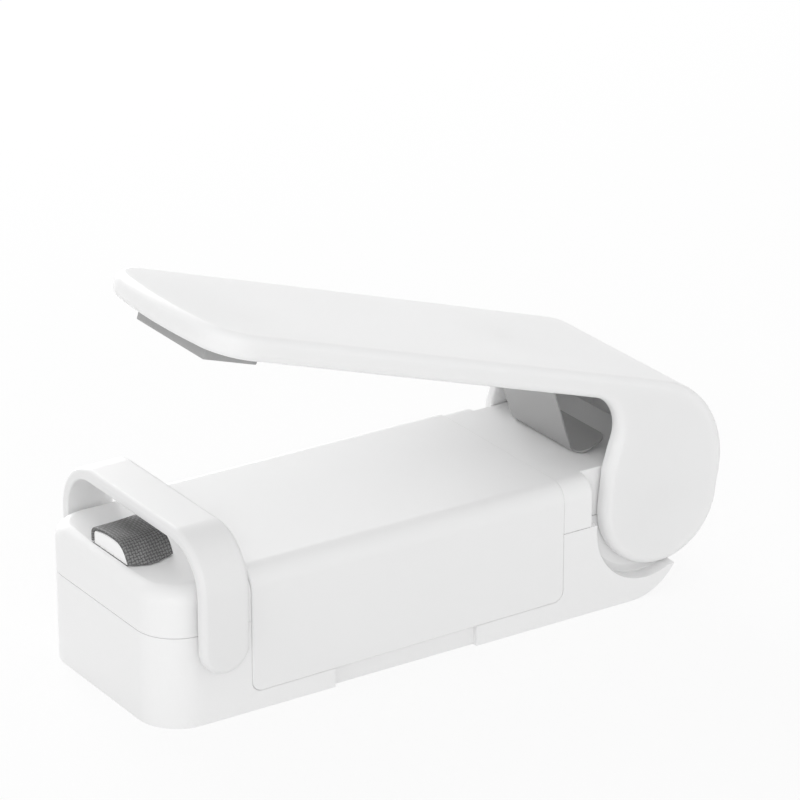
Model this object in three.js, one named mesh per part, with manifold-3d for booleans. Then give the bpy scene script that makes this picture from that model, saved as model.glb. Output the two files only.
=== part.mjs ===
// Mini bag sealer: a battery-heated sealing head with a hinged pressing arm, a safety loop
// and a lift-off battery cover. Millimetres. +Z is up, +X runs from the sealing end to the
// hinge, and Y runs across the body. The near side is -Y.

import * as THREE from 'three';
import { mergeVertices } from 'three/addons/utils/BufferGeometryUtils.js';
import Module from 'manifold-3d';

const wasm = await Module();
wasm.setup();

// Two AA cells side by side set the size of the body
const cellRadius = 7.2;
const cellLength = 49.2;
const nubRadius = 2.7;
const nubLength = 1;
const cellClearance = 0.5;
const cellHeadroom = 3.2;
const bayWall = 1.4;
const bayFloor = 3.4;
const bayEndRoom = 5.9;
const partitionWall = 1.2;

// Walls and clearances
const shellWall = 1.6;
const seam = 0.2;
const fitGap = 0.3;
const turnGap = 0.15;
const overrun = 6;

// Saddle cover over the bay
const coverFront = 15.5;
const coverWall = 1.6;
const coverProud = 0.2;
const coverHemFront = 3;
const coverHemRear = 3.5;
const coverCornerRadius = 1.8;
const coverRear = coverFront + cellLength + nubLength + bayEndRoom;
const fingerNotchStart = 14.5;
const fingerNotchEnd = 16.1;
const fingerNotchFront = coverFront + fingerNotchStart;
const fingerNotchRear = coverRear - fingerNotchEnd;
const fingerNotchDepth = 2;
const wireNotchWidth = 4.2;
const wireNotchHeight = 2.4;

// Body outline
const bodyHalf = 2 * cellRadius + cellClearance + bayWall + fitGap + coverWall - coverProud;
const coverHeight = bayFloor + fitGap + 2 * cellRadius + cellHeadroom + coverWall;
const frontCapDrop = 0.6;
const frontCapHeight = coverHeight - frontCapDrop;
const rearCapDrop = 0.2;
const rearCapHeight = coverHeight - rearCapDrop;
const partingHeight = 14.6;
const frontCornerRadius = 6.8;
const sideFilletRadius = 3.1;
const frontFilletRadius = 2.2;
const baseChamfer = 0.8;
const tailSetback = 13;
const tailRoundX = coverRear + tailSetback;
const tailRoundRadius = 10;

// Contacts at the ends of the cells
const plateThickness = 0.4;
const plateHeight = 10.5;
const plateInset = 0.8;
const springWire = 0.6;
const springTurns = 2;
const springWideRadius = 3.6;
const springNarrowRadius = 2.2;

// Hinge
const hingeSetback = 18.7;
const hingeX = coverRear + hingeSetback;
const hingeHeight = 15.9;
const axleRadius = 1.5;
const hubRadius = 7.7;
const hubWall = 3;
const earSlack = 0.4;
const earSeat = 1;

// Side pockets that the ears of the arm sit in
const pocketSetback = 16;
const pocketX = coverRear + pocketSetback;
const pocketHeight = 13.2;
const pocketRadius = 9.7;
const pocketLip = 1;
const earClearance = 0.5;
const sillLength = 20.8;
const sillRear = coverRear + sillLength;

// Pressing arm, in its own frame: U along the arm to the rear, W up, hinge at the origin
const armRise = THREE.MathUtils.degToRad(17.76);
const armSideInset = 0.6;
const armHalf = bodyHalf - armSideInset;
const noseInset = 0.8;
const armReach = hingeX - noseInset;
const armUnderside = 14.78;
const armDepth = 3.9;
const armSideWall = 2.4;
const armPlate = 1.9;
const armEdgeRadius = 1.4;
const noseCornerRadius = 7;
const noseBowRadius = 68;
const earRadius = 11;
const earOffset = 0.6;
const earFrontReach = 11.4;
const earFrontHeight = 3.5;
const backRadius = 15.1;
const backOffset = -4.1;
const throatRadius = 5.9;
const backWallEnd = THREE.MathUtils.degToRad(-17);

// Sealing pad under the nose
const padLength = 9.6;
const padWidth = 19.2;
const padSetback = 4.3;
const padDrop = 2.3;
const padThickness = 2.6;
const padRim = 0.8;

// Heater head
const heaterFront = 2;
const heaterLength = 7.5;
const heaterWidth = 9.9;
const heaterShift = 0.55;
const heaterRise = 2.6;
const crownRadius = 20;
const crownShift = 1;
const heaterNearRadius = 3.3;
const heaterFarRadius = 0.6;
const heaterSlotGap = 0.9;
const heaterFlange = 2.4;
const heaterFlangeLength = 1.8;
const heaterFlangeThickness = 1.5;
const ribbonWidth = 3.4;
const ribbonThickness = 0.2;
const ribbonTail = 6.3;
const layerGap = 0.12;
const clothThickness = 0.3;
const clothSkirt = 0.8;

// Safety loop
const loopX = 9.6;
const loopPivotDrop = 1.7;
const loopPivotHeight = partingHeight - loopPivotDrop;
const loopWidth = 8.1;
const loopWall = 1.9;
const loopRise = 7.7;
const loopTop = frontCapHeight + loopRise;
const loopSideGap = 1.2;
const loopInnerHalf = bodyHalf + loopSideGap;
const loopCornerRadius = 8.7;
const loopPinRadius = 1.2;
const loopPinSeat = 1.1;
const loopPinReach = 2.6;
const washerRadius = 3.2;

// Return leaf between arm and body
const leafWidth = 16;
const leafFootWidth = 19.5;
const leafFootCorner = 2;
const leafThickness = 0.35;
const leafTab = 7.4;
const leafTabSetback = 1.7;
const leafTabX = coverRear + leafTabSetback;
const leafFoldSetback = 8.6;
const leafFoldX = coverRear + leafFoldSetback;
const leafFootReach = 5.4;
const leafFootX = leafFoldX + leafFootReach;
const leafFootLift = 2;
const leafBend = 1;
const leafScrewRadius = 2.1;
const leafScrewHead = 1.1;
const leafScrewShank = 0.8;
const leafScrewBite = 1.2;

// Switch under the leaf
const buttonSetback = 11.2;
const buttonX = coverRear + buttonSetback;
const buttonRadius = 1.5;
const buttonProud = 0.1;
const buttonFlange = 1;
const buttonFlangeThickness = 0.8;
const buttonStem = 1;
const buttonLength = 10.8;
const buttonTip = rearCapHeight - buttonLength;
const bladeThickness = 0.3;
const bladeWidth = 3;
const bladeLug = 1.9;
const contactGap = 0.8;
const contactThickness = 0.4;
const switchSetback = 4.6;
const switchFront = coverRear + switchSetback;
const switchBaseLength = 8;
const switchBaseWidth = 8;
const switchRiser = 2.5;
const contactLug = 1.9;

// Case screws
const screwHeadRadius = 2;
const screwHeadHeight = 1.4;
const screwShankRadius = 0.9;
const screwBossRadius = 2.6;
const screwLength = 15;
const screwSeat = 3;
const screwInset = 5.2;
const screwFrontSideInset = 6.4;
const screwFrontHalf = bodyHalf - screwFrontSideInset;
const screwRearSetback = 3.7;
const screwRearX = coverRear + screwRearSetback;
const screwRearSideInset = 8.8;
const screwRearHalf = bodyHalf - screwRearSideInset;

// Internal leads
const leadRadius = 0.55;
const leadBend = 2.2;
const leadHeight = 4.5;
const leadHalfSpacing = 0.95;

// Smoothness of round shapes
const arcSteps = 16;
const filletSteps = 6;
const bevelSteps = 3;
const pinSides = 24;
const cellSides = 36;
const leadSides = 8;
const leadSteps = 34;
const springSteps = 20;
const springSides = 6;
const mergeTolerance = 1e-4;

// Values that follow from the sizes above
const quarter = Math.PI / 2;
const coverHalf = bodyHalf + coverProud;
const coverInnerHalf = coverHalf - coverWall;
const bayOuterHalf = coverInnerHalf - fitGap;
const bayInnerHalf = bayOuterHalf - bayWall;
const bayFront = coverFront - fitGap + partitionWall;
const bayRear = coverRear + fitGap - partitionWall;
const armInnerHalf = armHalf - armSideWall;
const tongueHalf = armInnerHalf - earSlack;
const pocketFront = pocketX - pocketRadius - pocketLip;
const armTop = armUnderside + armDepth;
const armCeiling = armTop - armPlate;
const backHeight = armTop - backRadius;
const heaterTop = frontCapHeight + heaterRise;
const heaterRear = heaterFront + heaterLength;
const cellHeight = bayFloor + fitGap + cellRadius;
const cellHalfSpacing = (bayInnerHalf + seam) / 2;

const ivory = { color: 0xececec, roughness: 0.45, metalness: 0 };
const finishes = {
  shell: ivory,
  cover: { color: 0xe9e9e9, roughness: 0.5, metalness: 0 },
  arm: { color: 0xeeeeee, roughness: 0.42, metalness: 0 },
  loop: { color: 0xf0f0f0, roughness: 0.4, metalness: 0 },
  pad: { color: 0x7e7e7e, roughness: 0.8, metalness: 0 },
  carrier: { color: 0xfafafa, roughness: 0.6, metalness: 0 },
  cloth: { color: 0x585858, roughness: 0.85, metalness: 0 },
  leaf: { color: 0xb8b8b8, roughness: 0.35, metalness: 0.9 },
  steel: { color: 0xa8abb0, roughness: 0.3, metalness: 1 },
  brass: { color: 0xc9a85a, roughness: 0.35, metalness: 1 },
  cell: { color: 0x5d6672, roughness: 0.4, metalness: 0.3 },
  dark: { color: 0x3a3c40, roughness: 0.6, metalness: 0 },
  red: { color: 0xa83a32, roughness: 0.5, metalness: 0 },
};

const root = new THREE.Group();
const body = new THREE.Group();
const arm = new THREE.Group();
const safetyLoop = new THREE.Group();
root.add(body, arm, safetyLoop);

// Closed three.js geometry to a solid, and back to a named mesh

function solidOf(geometry) {
  const bare = geometry.index ? geometry.toNonIndexed() : geometry.clone();
  bare.deleteAttribute('normal');
  bare.deleteAttribute('uv');
  const merged = mergeVertices(bare, mergeTolerance);
  const mesh = new wasm.Mesh({
    numProp: 3,
    vertProperties: new Float32Array(merged.attributes.position.array),
    triVerts: new Uint32Array(merged.index.array),
  });
  return new wasm.Manifold(mesh);
}

function addPiece(group, name, solid, finish) {
  const out = solid.getMesh();
  const geometry = new THREE.BufferGeometry();
  geometry.setAttribute('position', new THREE.BufferAttribute(out.vertProperties, 3));
  geometry.setIndex(new THREE.BufferAttribute(out.triVerts, 1));
  geometry.computeVertexNormals();
  const mesh = new THREE.Mesh(geometry, new THREE.MeshStandardMaterial(finish));
  mesh.name = name;
  group.add(mesh);
  return mesh;
}

// Outlines: lists of points, with arcs by formula

function arcPoints(x, y, radius, from, to, steps = arcSteps) {
  const points = [];
  for (let i = 0; i <= steps; i += 1) {
    const angle = from + ((to - from) * i) / steps;
    points.push(new THREE.Vector2(x + radius * Math.cos(angle), y + radius * Math.sin(angle)));
  }
  return points;
}

function shapeOf(points) {
  const pairs = points.map((p) => (Array.isArray(p) ? new THREE.Vector2(p[0], p[1]) : p));
  return new THREE.Shape(pairs);
}

function roundedRect(x0, y0, x1, y1, radii) {
  const [r00, r10, r11, r01] = radii;
  const corner = (x, y, r, dx, dy, from) => {
    if (r === 0) {
      return [new THREE.Vector2(x, y)];
    }
    return arcPoints(x + dx * r, y + dy * r, r, from, from + quarter, filletSteps);
  };
  return shapeOf([
    ...corner(x0, y0, r00, 1, 1, Math.PI),
    ...corner(x1, y0, r10, -1, 1, Math.PI + quarter),
    ...corner(x1, y1, r11, -1, -1, 0),
    ...corner(x0, y1, r01, 1, -1, quarter),
  ]);
}

// Prisms: an outline in one plane, run along the third axis

function extruded(shape, depth, bevel = 0) {
  const options = { depth: depth - 2 * bevel, bevelEnabled: bevel > 0, curveSegments: arcSteps };
  if (bevel > 0) {
    options.bevelThickness = bevel;
    options.bevelSize = bevel;
    options.bevelOffset = -bevel;
    options.bevelSegments = bevelSteps;
  }
  const geometry = new THREE.ExtrudeGeometry(shape, options);
  geometry.translate(0, 0, bevel);
  return geometry;
}

function prismXY(shape, z0, z1, bevel = 0) {
  const geometry = extruded(shape, z1 - z0, bevel);
  geometry.translate(0, 0, z0);
  return solidOf(geometry);
}

function prismXZ(shape, y0, y1, bevel = 0) {
  const geometry = extruded(shape, y1 - y0, bevel);
  geometry.rotateX(quarter);
  geometry.translate(0, y1, 0);
  return solidOf(geometry);
}

function prismYZ(shape, x0, x1) {
  const geometry = extruded(shape, x1 - x0);
  const turn = new THREE.Matrix4().makeBasis(
    new THREE.Vector3(0, 1, 0),
    new THREE.Vector3(0, 0, 1),
    new THREE.Vector3(1, 0, 0),
  );
  geometry.applyMatrix4(turn);
  geometry.translate(x0, 0, 0);
  return solidOf(geometry);
}

function block(x0, x1, y0, y1, z0, z1) {
  const geometry = new THREE.BoxGeometry(x1 - x0, y1 - y0, z1 - z0);
  geometry.translate((x0 + x1) / 2, (y0 + y1) / 2, (z0 + z1) / 2);
  return solidOf(geometry);
}

function discY(radius, y0, y1, x, z, sides = pinSides) {
  const geometry = new THREE.CylinderGeometry(radius, radius, y1 - y0, sides);
  geometry.translate(x, (y0 + y1) / 2, z);
  return solidOf(geometry);
}

function discZ(radius, z0, z1, x, y, sides = pinSides) {
  const geometry = new THREE.CylinderGeometry(radius, radius, z1 - z0, sides);
  geometry.rotateX(quarter);
  geometry.translate(x, y, (z0 + z1) / 2);
  return solidOf(geometry);
}

function joined(...solids) {
  return solids.reduce((sum, solid) => sum.add(solid));
}

function without(solid, ...cutters) {
  return cutters.reduce((rest, cutter) => rest.subtract(cutter), solid);
}

// Strip of even thickness along a centre line, given as an outline

function stripOutline(line, thickness) {
  const half = thickness / 2;
  const left = [];
  const right = [];
  line.forEach((point, i) => {
    const before = line[Math.max(i - 1, 0)];
    const after = line[Math.min(i + 1, line.length - 1)];
    const along = after.clone().sub(before).normalize();
    const normal = new THREE.Vector2(-along.y, along.x);
    left.push(point.clone().addScaledVector(normal, half));
    right.push(point.clone().addScaledVector(normal, -half));
  });
  return shapeOf([...right, ...left.reverse()]);
}

// Round wire along a list of points

function wire(points, radius, sides, steps) {
  const path = new THREE.CatmullRomCurve3(points, false, 'centripetal');
  const ring = shapeOf(arcPoints(0, 0, radius, 0, 2 * Math.PI * (1 - 1 / sides), sides - 1));
  return solidOf(new THREE.ExtrudeGeometry(ring, { steps, extrudePath: path, bevelEnabled: false }));
}

// Body outlines that more than one shell shares

const bodyPlan = roundedRect(
  0,
  -bodyHalf,
  hingeX + hubRadius,
  bodyHalf,
  [frontCornerRadius, 0, 0, frontCornerRadius],
);

function planPrism(z0, z1) {
  return prismXY(bodyPlan, z0, z1);
}

function innerPlanPrism(x1, z0, z1) {
  const inner = bodyHalf - shellWall;
  const radius = frontCornerRadius - shellWall;
  return prismXY(roundedRect(shellWall, -inner, x1, inner, [radius, 0, 0, radius]), z0, z1);
}

function crossSection(height, radius, inset) {
  const side = bodyHalf - inset;
  return roundedRect(-side, -overrun, side, height - inset, [0, 0, radius - inset, radius - inset]);
}

function earPockets(z1) {
  const outline = shapeOf([
    [pocketX - pocketRadius, z1],
    ...arcPoints(pocketX, pocketHeight, pocketRadius, Math.PI, 2 * Math.PI),
    [hingeX + hubRadius + overrun, pocketHeight],
    [hingeX + hubRadius + overrun, z1],
  ]);
  const far = bodyHalf + overrun;
  const swing = earRadius + earClearance;
  const middle = hingeX + earOffset;
  const rear = middle + swing;
  return joined(
    prismXZ(outline, tongueHalf, far),
    prismXZ(outline, -far, -tongueHalf),
    discY(swing, tongueHalf, far, middle, hingeHeight, cellSides),
    discY(swing, -far, -tongueHalf, middle, hingeHeight, cellSides),
    block(sillRear, rear, tongueHalf, far, -overrun, pocketHeight),
    block(sillRear, rear, -far, -tongueHalf, -overrun, pocketHeight),
  );
}

function hubRing(radius, halfWidth) {
  return discY(radius, -halfWidth, halfWidth, hingeX, hingeHeight, cellSides);
}

const screwPlaces = [
  ['front_near', screwInset, -screwFrontHalf],
  ['front_far', screwInset, screwFrontHalf],
  ['rear_near', screwRearX, -screwRearHalf],
  ['rear_far', screwRearX, screwRearHalf],
];

// Lower shell: front tub, battery bay and hinge tongue in one moulding

function lowerShell() {
  const top = partingHeight - seam / 2;
  const side = shapeOf([
    [baseChamfer, 0],
    ...arcPoints(tailRoundX, tailRoundRadius, tailRoundRadius, -quarter, 0),
    [tailRoundX + tailRoundRadius, top],
    [0, top],
    [0, baseChamfer],
  ]);
  const hubHalf = hubRing(hubRadius, tongueHalf).intersect(
    block(pocketX, hingeX + 2 * hubRadius, -tongueHalf, tongueHalf, 0, top),
  );
  let shell = prismXZ(side, -bodyHalf, bodyHalf).intersect(planPrism(0, top));
  shell = shell.subtract(earPockets(top + overrun));
  shell = shell.add(hubHalf);
  const bayTop = coverHeight - coverWall - fitGap;
  const bayRound = sideFilletRadius - coverWall - fitGap;
  const bayBlock = prismYZ(
    roundedRect(
      -bayOuterHalf,
      partingHeight - shellWall,
      bayOuterHalf,
      bayTop,
      [0, 0, bayRound, bayRound],
    ),
    coverFront - fitGap,
    coverRear + fitGap,
  );
  shell = shell.add(bayBlock);
  const cavityHalf = tongueHalf - hubWall;
  const hubFloor = hingeHeight - hubRadius + shellWall;
  shell = without(
    shell,
    innerPlanPrism(coverFront - fitGap, shellWall, bayTop + overrun),
    block(bayFront, bayRear, -bayInnerHalf, bayInnerHalf, bayFloor, bayTop + overrun),
    block(coverRear + fitGap, tailRoundX, -cavityHalf, cavityHalf, shellWall, bayTop + overrun),
    block(tailRoundX - overrun, hingeX, -cavityHalf, cavityHalf, hubFloor, bayTop + overrun),
    hubRing(hubRadius - shellWall, cavityHalf),
    hubRing(axleRadius + turnGap, tongueHalf + overrun),
  );
  const hemCut = coverHemFront - fitGap;
  for (const sign of [-1, 1]) {
    const inner = Math.min(sign * bayOuterHalf, sign * (bodyHalf + overrun));
    const outer = Math.max(sign * bayOuterHalf, sign * (bodyHalf + overrun));
    const notchInner = Math.min(sign * (bodyHalf - fingerNotchDepth), sign * (bodyHalf + overrun));
    const notchOuter = Math.max(sign * (bodyHalf - fingerNotchDepth), sign * (bodyHalf + overrun));
    shell = without(
      shell,
      block(coverFront - fitGap, coverRear + fitGap, inner, outer, hemCut, bayTop + overrun),
      block(fingerNotchFront, fingerNotchRear, notchInner, notchOuter, -overrun, hemCut),
    );
    const pinHole = discY(
      loopPinRadius + turnGap,
      Math.min(0, sign * (bodyHalf + overrun)),
      Math.max(0, sign * (bodyHalf + overrun)),
      loopX,
      loopPivotHeight,
    );
    shell = shell.subtract(pinHole);
  }
  const notch = wireNotchWidth / 2;
  shell = without(
    shell,
    block(coverFront - overrun, bayFront + seam, -notch, notch, bayFloor, bayFloor + wireNotchHeight),
    block(bayRear - seam, coverRear + overrun, -notch, 2 * notch, bayFloor, bayFloor + wireNotchHeight),
  );
  const shank = screwShankRadius + turnGap;
  for (const [, x, y] of screwPlaces) {
    shell = shell.add(discZ(screwBossRadius, shellWall / 2, top, x, y));
    shell = shell.subtract(discZ(shank, -overrun, top + overrun, x, y));
    shell = shell.subtract(discZ(screwHeadRadius + turnGap, -overrun, screwSeat, x, y));
  }
  return shell;
}

// Closed solid through level rings of points, all with the same count and seen counter-clockwise

function loftOf(rings) {
  const count = rings[0].length;
  const indices = [];
  for (let i = 0; i < count; i += 1) {
    const next = (i + 1) % count;
    for (let low = 0; low < (rings.length - 1) * count; low += count) {
      indices.push(low + i, low + next, low + count + next);
      indices.push(low + i, low + count + next, low + count + i);
    }
  }
  const top = (rings.length - 1) * count;
  for (let i = 1; i < count - 1; i += 1) {
    indices.push(0, i + 1, i);
    indices.push(top, top + i, top + i + 1);
  }
  const geometry = new THREE.BufferGeometry().setFromPoints(rings.flat());
  geometry.setIndex(indices);
  return solidOf(geometry);
}

// Outer form of the front cap: the fillet of its top edge grows from the front to the sides

function frontCapSkin(low, rear) {
  const flat = bodyHalf - frontCornerRadius;
  const walls = [{ x: rear, y: bodyHalf, nx: 0, ny: 1 }];
  for (const sign of [1, -1]) {
    for (let i = 0; i <= filletSteps; i += 1) {
      const turn = (sign > 0 ? quarter : Math.PI) + (quarter * i) / filletSteps;
      const nx = Math.cos(turn);
      const ny = Math.sin(turn);
      walls.push({ x: frontCornerRadius * (1 + nx), y: sign * flat + frontCornerRadius * ny, nx, ny });
    }
  }
  walls.push({ x: rear, y: -bodyHalf, nx: 0, ny: -1 });
  const ring = (inwards, height) => walls.map(({ x, y, nx, ny }) => {
    const radius = sideFilletRadius + (frontFilletRadius - sideFilletRadius) * nx * nx;
    return new THREE.Vector3(x - nx * inwards * radius, y - ny * inwards * radius, height(radius));
  });
  const rings = [ring(0, () => low)];
  for (let i = 0; i <= filletSteps; i += 1) {
    const turn = (quarter * i) / filletSteps;
    rings.push(ring(1 - Math.cos(turn), (radius) => frontCapHeight - radius * (1 - Math.sin(turn))));
  }
  return loftOf(rings);
}

// Front cap: the upper half of the sealing end, with the slot for the heater

function frontCap() {
  const low = partingHeight + seam / 2;
  const rear = coverFront - fitGap;
  const inside = roundedRect(
    shellWall,
    -overrun,
    rear + overrun,
    frontCapHeight - shellWall,
    [0, 0, 0, frontFilletRadius / 2],
  );
  const outer = frontCapSkin(low, rear);
  const inner = prismXZ(inside, -bodyHalf, bodyHalf)
    .intersect(innerPlanPrism(rear + overrun, low - overrun, frontCapHeight))
    .intersect(prismYZ(crossSection(frontCapHeight, sideFilletRadius, shellWall), 0, rear + overrun));
  const slotHalf = heaterWidth / 2 + heaterSlotGap;
  const slot = block(
    heaterFront - fitGap,
    heaterRear + fitGap,
    -slotHalf - heaterShift,
    slotHalf - heaterShift,
    frontCapHeight - shellWall - frontFilletRadius,
    frontCapHeight + overrun,
  );
  let cap = without(outer, inner);
  for (const [, x, y] of screwPlaces.slice(0, 2)) {
    const boss = discZ(screwBossRadius, low, frontCapHeight - shellWall / 2, x, y);
    cap = cap.add(boss.intersect(outer));
    cap = cap.subtract(discZ(screwShankRadius + turnGap, low - overrun, screwSeat + screwLength, x, y));
  }
  return cap.subtract(slot);
}

// Rear cap: the upper half behind the cover, narrowing to the hinge tongue

function rearCap() {
  const low = partingHeight + seam / 2;
  const front = coverRear + fitGap;
  const tongueRoof = prismXY(
    roundedRect(front, -tongueHalf, hingeX, tongueHalf, [0, 0, 0, 0]),
    low,
    rearCapHeight,
  );
  const shoulder = prismYZ(crossSection(rearCapHeight, sideFilletRadius, 0), front, pocketFront)
    .intersect(block(front, pocketFront, -bodyHalf, bodyHalf, low, rearCapHeight));
  const hubTop = hubRing(hubRadius, tongueHalf).intersect(
    block(pocketFront, hingeX + hubRadius, -tongueHalf, tongueHalf, low, rearCapHeight),
  );
  const cavityHalf = tongueHalf - hubWall;
  const roof = rearCapHeight - shellWall;
  let cap = joined(tongueRoof, shoulder, hubTop);
  cap = without(
    cap,
    block(front - overrun, hingeX, -cavityHalf, cavityHalf, low - overrun, roof),
    hubRing(hubRadius - shellWall, cavityHalf).intersect(
      block(hingeX - overrun, hingeX + hubRadius, -cavityHalf, cavityHalf, low - overrun, roof),
    ),
    hubRing(axleRadius + turnGap, tongueHalf + overrun),
    discZ(buttonRadius + turnGap, roof - overrun, rearCapHeight + overrun, buttonX, 0),
  );
  for (const [, x, y] of screwPlaces.slice(2)) {
    cap = cap.add(discZ(screwBossRadius, low, roof + shellWall / 2, x, y));
    cap = cap.subtract(discZ(screwShankRadius + turnGap, low - overrun, screwSeat + screwLength, x, y));
  }
  return cap;
}

// Battery cover: a saddle over the top and both sides of the bay

function batteryCover() {
  const outer = roundedRect(
    -coverHalf,
    0,
    coverHalf,
    coverHeight,
    [0, 0, sideFilletRadius, sideFilletRadius],
  );
  const inner = roundedRect(
    -coverInnerHalf,
    -overrun,
    coverInnerHalf,
    coverHeight - coverWall,
    [0, 0, sideFilletRadius - coverWall, sideFilletRadius - coverWall],
  );
  const r = coverCornerRadius;
  const side = shapeOf([
    ...arcPoints(coverFront + r, coverHemFront + r, r, Math.PI, Math.PI + quarter, filletSteps),
    ...arcPoints(coverRear - r, coverHemRear + r, r, -quarter, 0, filletSteps),
    [coverRear, coverHeight + overrun],
    [coverFront, coverHeight + overrun],
  ]);
  return prismYZ(outer, coverFront, coverRear)
    .subtract(prismYZ(inner, coverFront - overrun, coverRear + overrun))
    .intersect(prismXZ(side, -bodyHalf - overrun, bodyHalf + overrun));
}

// Pressing arm, in its own frame

// Direction in which the line that touches both rear arcs faces
function touchAngle() {
  const du = backOffset - earOffset;
  const share = (earRadius - backRadius) / Math.hypot(du, backHeight);
  return Math.atan2(backHeight, du) - Math.acos(Math.max(share, -1));
}

// Direction in which the line from the front edge of the ear meets its round
function earFrontAngle() {
  const du = -earFrontReach - earOffset;
  const share = earRadius / Math.hypot(du, earFrontHeight);
  return Math.atan2(earFrontHeight, du) + Math.acos(Math.min(share, 1));
}

function armSide() {
  const throatU = -earFrontReach - throatRadius;
  const throatW = armUnderside - throatRadius;
  const turn = touchAngle();
  return shapeOf([
    [-armReach - overrun, armUnderside],
    ...arcPoints(throatU, throatW, throatRadius, quarter, 0, filletSteps),
    [-earFrontReach, earFrontHeight],
    ...arcPoints(earOffset, 0, earRadius, earFrontAngle(), 2 * Math.PI + turn, 2 * arcSteps),
    ...arcPoints(backOffset, backHeight, backRadius, turn, quarter),
    [-armReach - overrun, armTop],
  ]);
}

function armHollow() {
  const turn = touchAngle();
  const inner = earRadius - armPlate;
  const outer = earRadius + overrun;
  return shapeOf([
    [-armReach, -armReach],
    [outer, -armReach],
    [earOffset + outer * Math.cos(backWallEnd), outer * Math.sin(backWallEnd)],
    ...arcPoints(earOffset, 0, inner, backWallEnd, turn, filletSteps),
    ...arcPoints(backOffset, backHeight, backRadius - armPlate, turn, quarter),
    [-armReach, armCeiling],
  ]);
}

function armPlan(inset) {
  const half = armHalf - inset;
  const radius = noseCornerRadius - inset;
  const bow = noseBowRadius - inset;
  const front = -armReach + inset;
  const back = Math.sqrt((bow - radius) ** 2 - (half - radius) ** 2);
  const turn = Math.atan2(half - radius, -back);
  const cornerU = front + bow - back;
  return shapeOf([
    [earRadius + overrun, -half],
    [earRadius + overrun, half],
    ...arcPoints(cornerU, half - radius, radius, quarter, turn, filletSteps),
    ...arcPoints(front + bow, 0, bow, turn, 2 * Math.PI - turn, filletSteps).slice(1, -1),
    ...arcPoints(cornerU, radius - half, radius, 2 * Math.PI - turn, Math.PI + quarter, filletSteps),
  ]);
}

const padFront = -armReach + padSetback;
const padRear = padFront + padLength;
const padLow = armUnderside - padDrop;
const padHigh = padLow + padThickness;

function armShell() {
  const outer = prismXZ(armSide(), -armHalf, armHalf, armEdgeRadius)
    .intersect(prismXY(armPlan(0), -2 * earRadius, armTop, armEdgeRadius));
  const hollow = prismXZ(armHollow(), -armInnerHalf, armInnerHalf)
    .intersect(prismXY(armPlan(armSideWall), -2 * armReach, armCeiling));
  const seatHalf = padWidth / 2 + padRim;
  const seat = block(
    padFront - padRim,
    padRear + padRim,
    -seatHalf,
    seatHalf,
    padHigh + fitGap,
    armCeiling + armPlate / 2,
  );
  const boreHalf = armInnerHalf + earSeat + fitGap;
  const bore = discY(axleRadius + turnGap, -boreHalf, boreHalf, 0, 0);
  const screwHole = discZ(
    leafScrewShank + turnGap,
    armCeiling - armPlate,
    armCeiling + leafScrewBite + fitGap / 2,
    leafTabMiddle(),
    0,
  );
  return without(joined(outer.subtract(hollow), seat), bore, screwHole);
}

// A point of the body, given in the frame of the arm at rest

function toArm(x, z) {
  const dx = x - hingeX;
  const dz = z - hingeHeight;
  const u = dx * Math.cos(armRise) - dz * Math.sin(armRise);
  const w = dx * Math.sin(armRise) + dz * Math.cos(armRise);
  return new THREE.Vector2(u, w);
}

const leafTabHeight = armCeiling - fitGap - leafThickness / 2;

function leafTabStart() {
  return toArm(leafTabX, hingeHeight + armCeiling).x;
}

function leafTabMiddle() {
  return leafTabStart() - leafTab / 2;
}

// Wide foot of the leaf, behind the fold, with four round corners

function leafFoot(line, fold) {
  const half = leafFootWidth / 2;
  const run = line[line.length - 1].clone().sub(fold);
  const corner = Math.min(leafFootCorner, run.length() / 2 - leafBend / 4);
  const corners = [corner, corner, corner, corner];
  const plan = extruded(roundedRect(leafBend / 4, -half, run.length(), half, corners), 2 * leafBend);
  plan.translate(0, 0, -leafBend);
  plan.rotateY(-run.angle());
  plan.translate(fold.x, 0, fold.y);
  const fromFold = line.slice(-(2 + filletSteps / 2));
  return prismXZ(stripOutline(fromFold, leafThickness), -half, half).intersect(solidOf(plan));
}

function returnLeaf() {
  const foldHeight = rearCapHeight + turnGap + leafThickness / 2 - leafBend / 4;
  const fold = toArm(leafFoldX, foldHeight);
  const foot = toArm(leafFootX, foldHeight + leafFootLift);
  const knee = new THREE.Vector2(leafTabStart(), leafTabHeight);
  const path = new THREE.Path();
  const back = (from, towards) => from.clone().add(towards.clone().sub(from).setLength(leafBend));
  const afterKnee = back(knee, fold);
  const beforeFold = back(fold, knee);
  const afterFold = back(fold, foot);
  path.moveTo(knee.x - leafTab, knee.y);
  path.lineTo(knee.x - leafBend, knee.y);
  path.quadraticCurveTo(knee.x, knee.y, afterKnee.x, afterKnee.y);
  path.lineTo(beforeFold.x, beforeFold.y);
  path.quadraticCurveTo(fold.x, fold.y, afterFold.x, afterFold.y);
  path.lineTo(foot.x, foot.y);
  const line = path.getPoints(filletSteps);
  const strip = prismXZ(stripOutline(line, leafThickness), -leafWidth / 2, leafWidth / 2);
  const hole = discZ(
    leafScrewShank + turnGap,
    leafTabHeight - leafThickness,
    leafTabHeight + leafThickness,
    leafTabMiddle(),
    0,
  );
  return joined(strip, leafFoot(line, fold)).subtract(hole);
}

function leafScrew() {
  const headTop = leafTabHeight - leafThickness / 2 - turnGap;
  const shank = discZ(leafScrewShank, headTop - leafScrewHead / 2, armCeiling + leafScrewBite, 0, 0);
  return discZ(leafScrewRadius, headTop - leafScrewHead, headTop, 0, 0)
    .add(shank)
    .translate([leafTabMiddle(), 0, 0]);
}

function sealingPad() {
  const half = padWidth / 2;
  return block(padFront, padRear, -half, half, padLow, padHigh);
}

// Heater head

// Line over the crown: a wide arch that meets both sides in round corners

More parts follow.
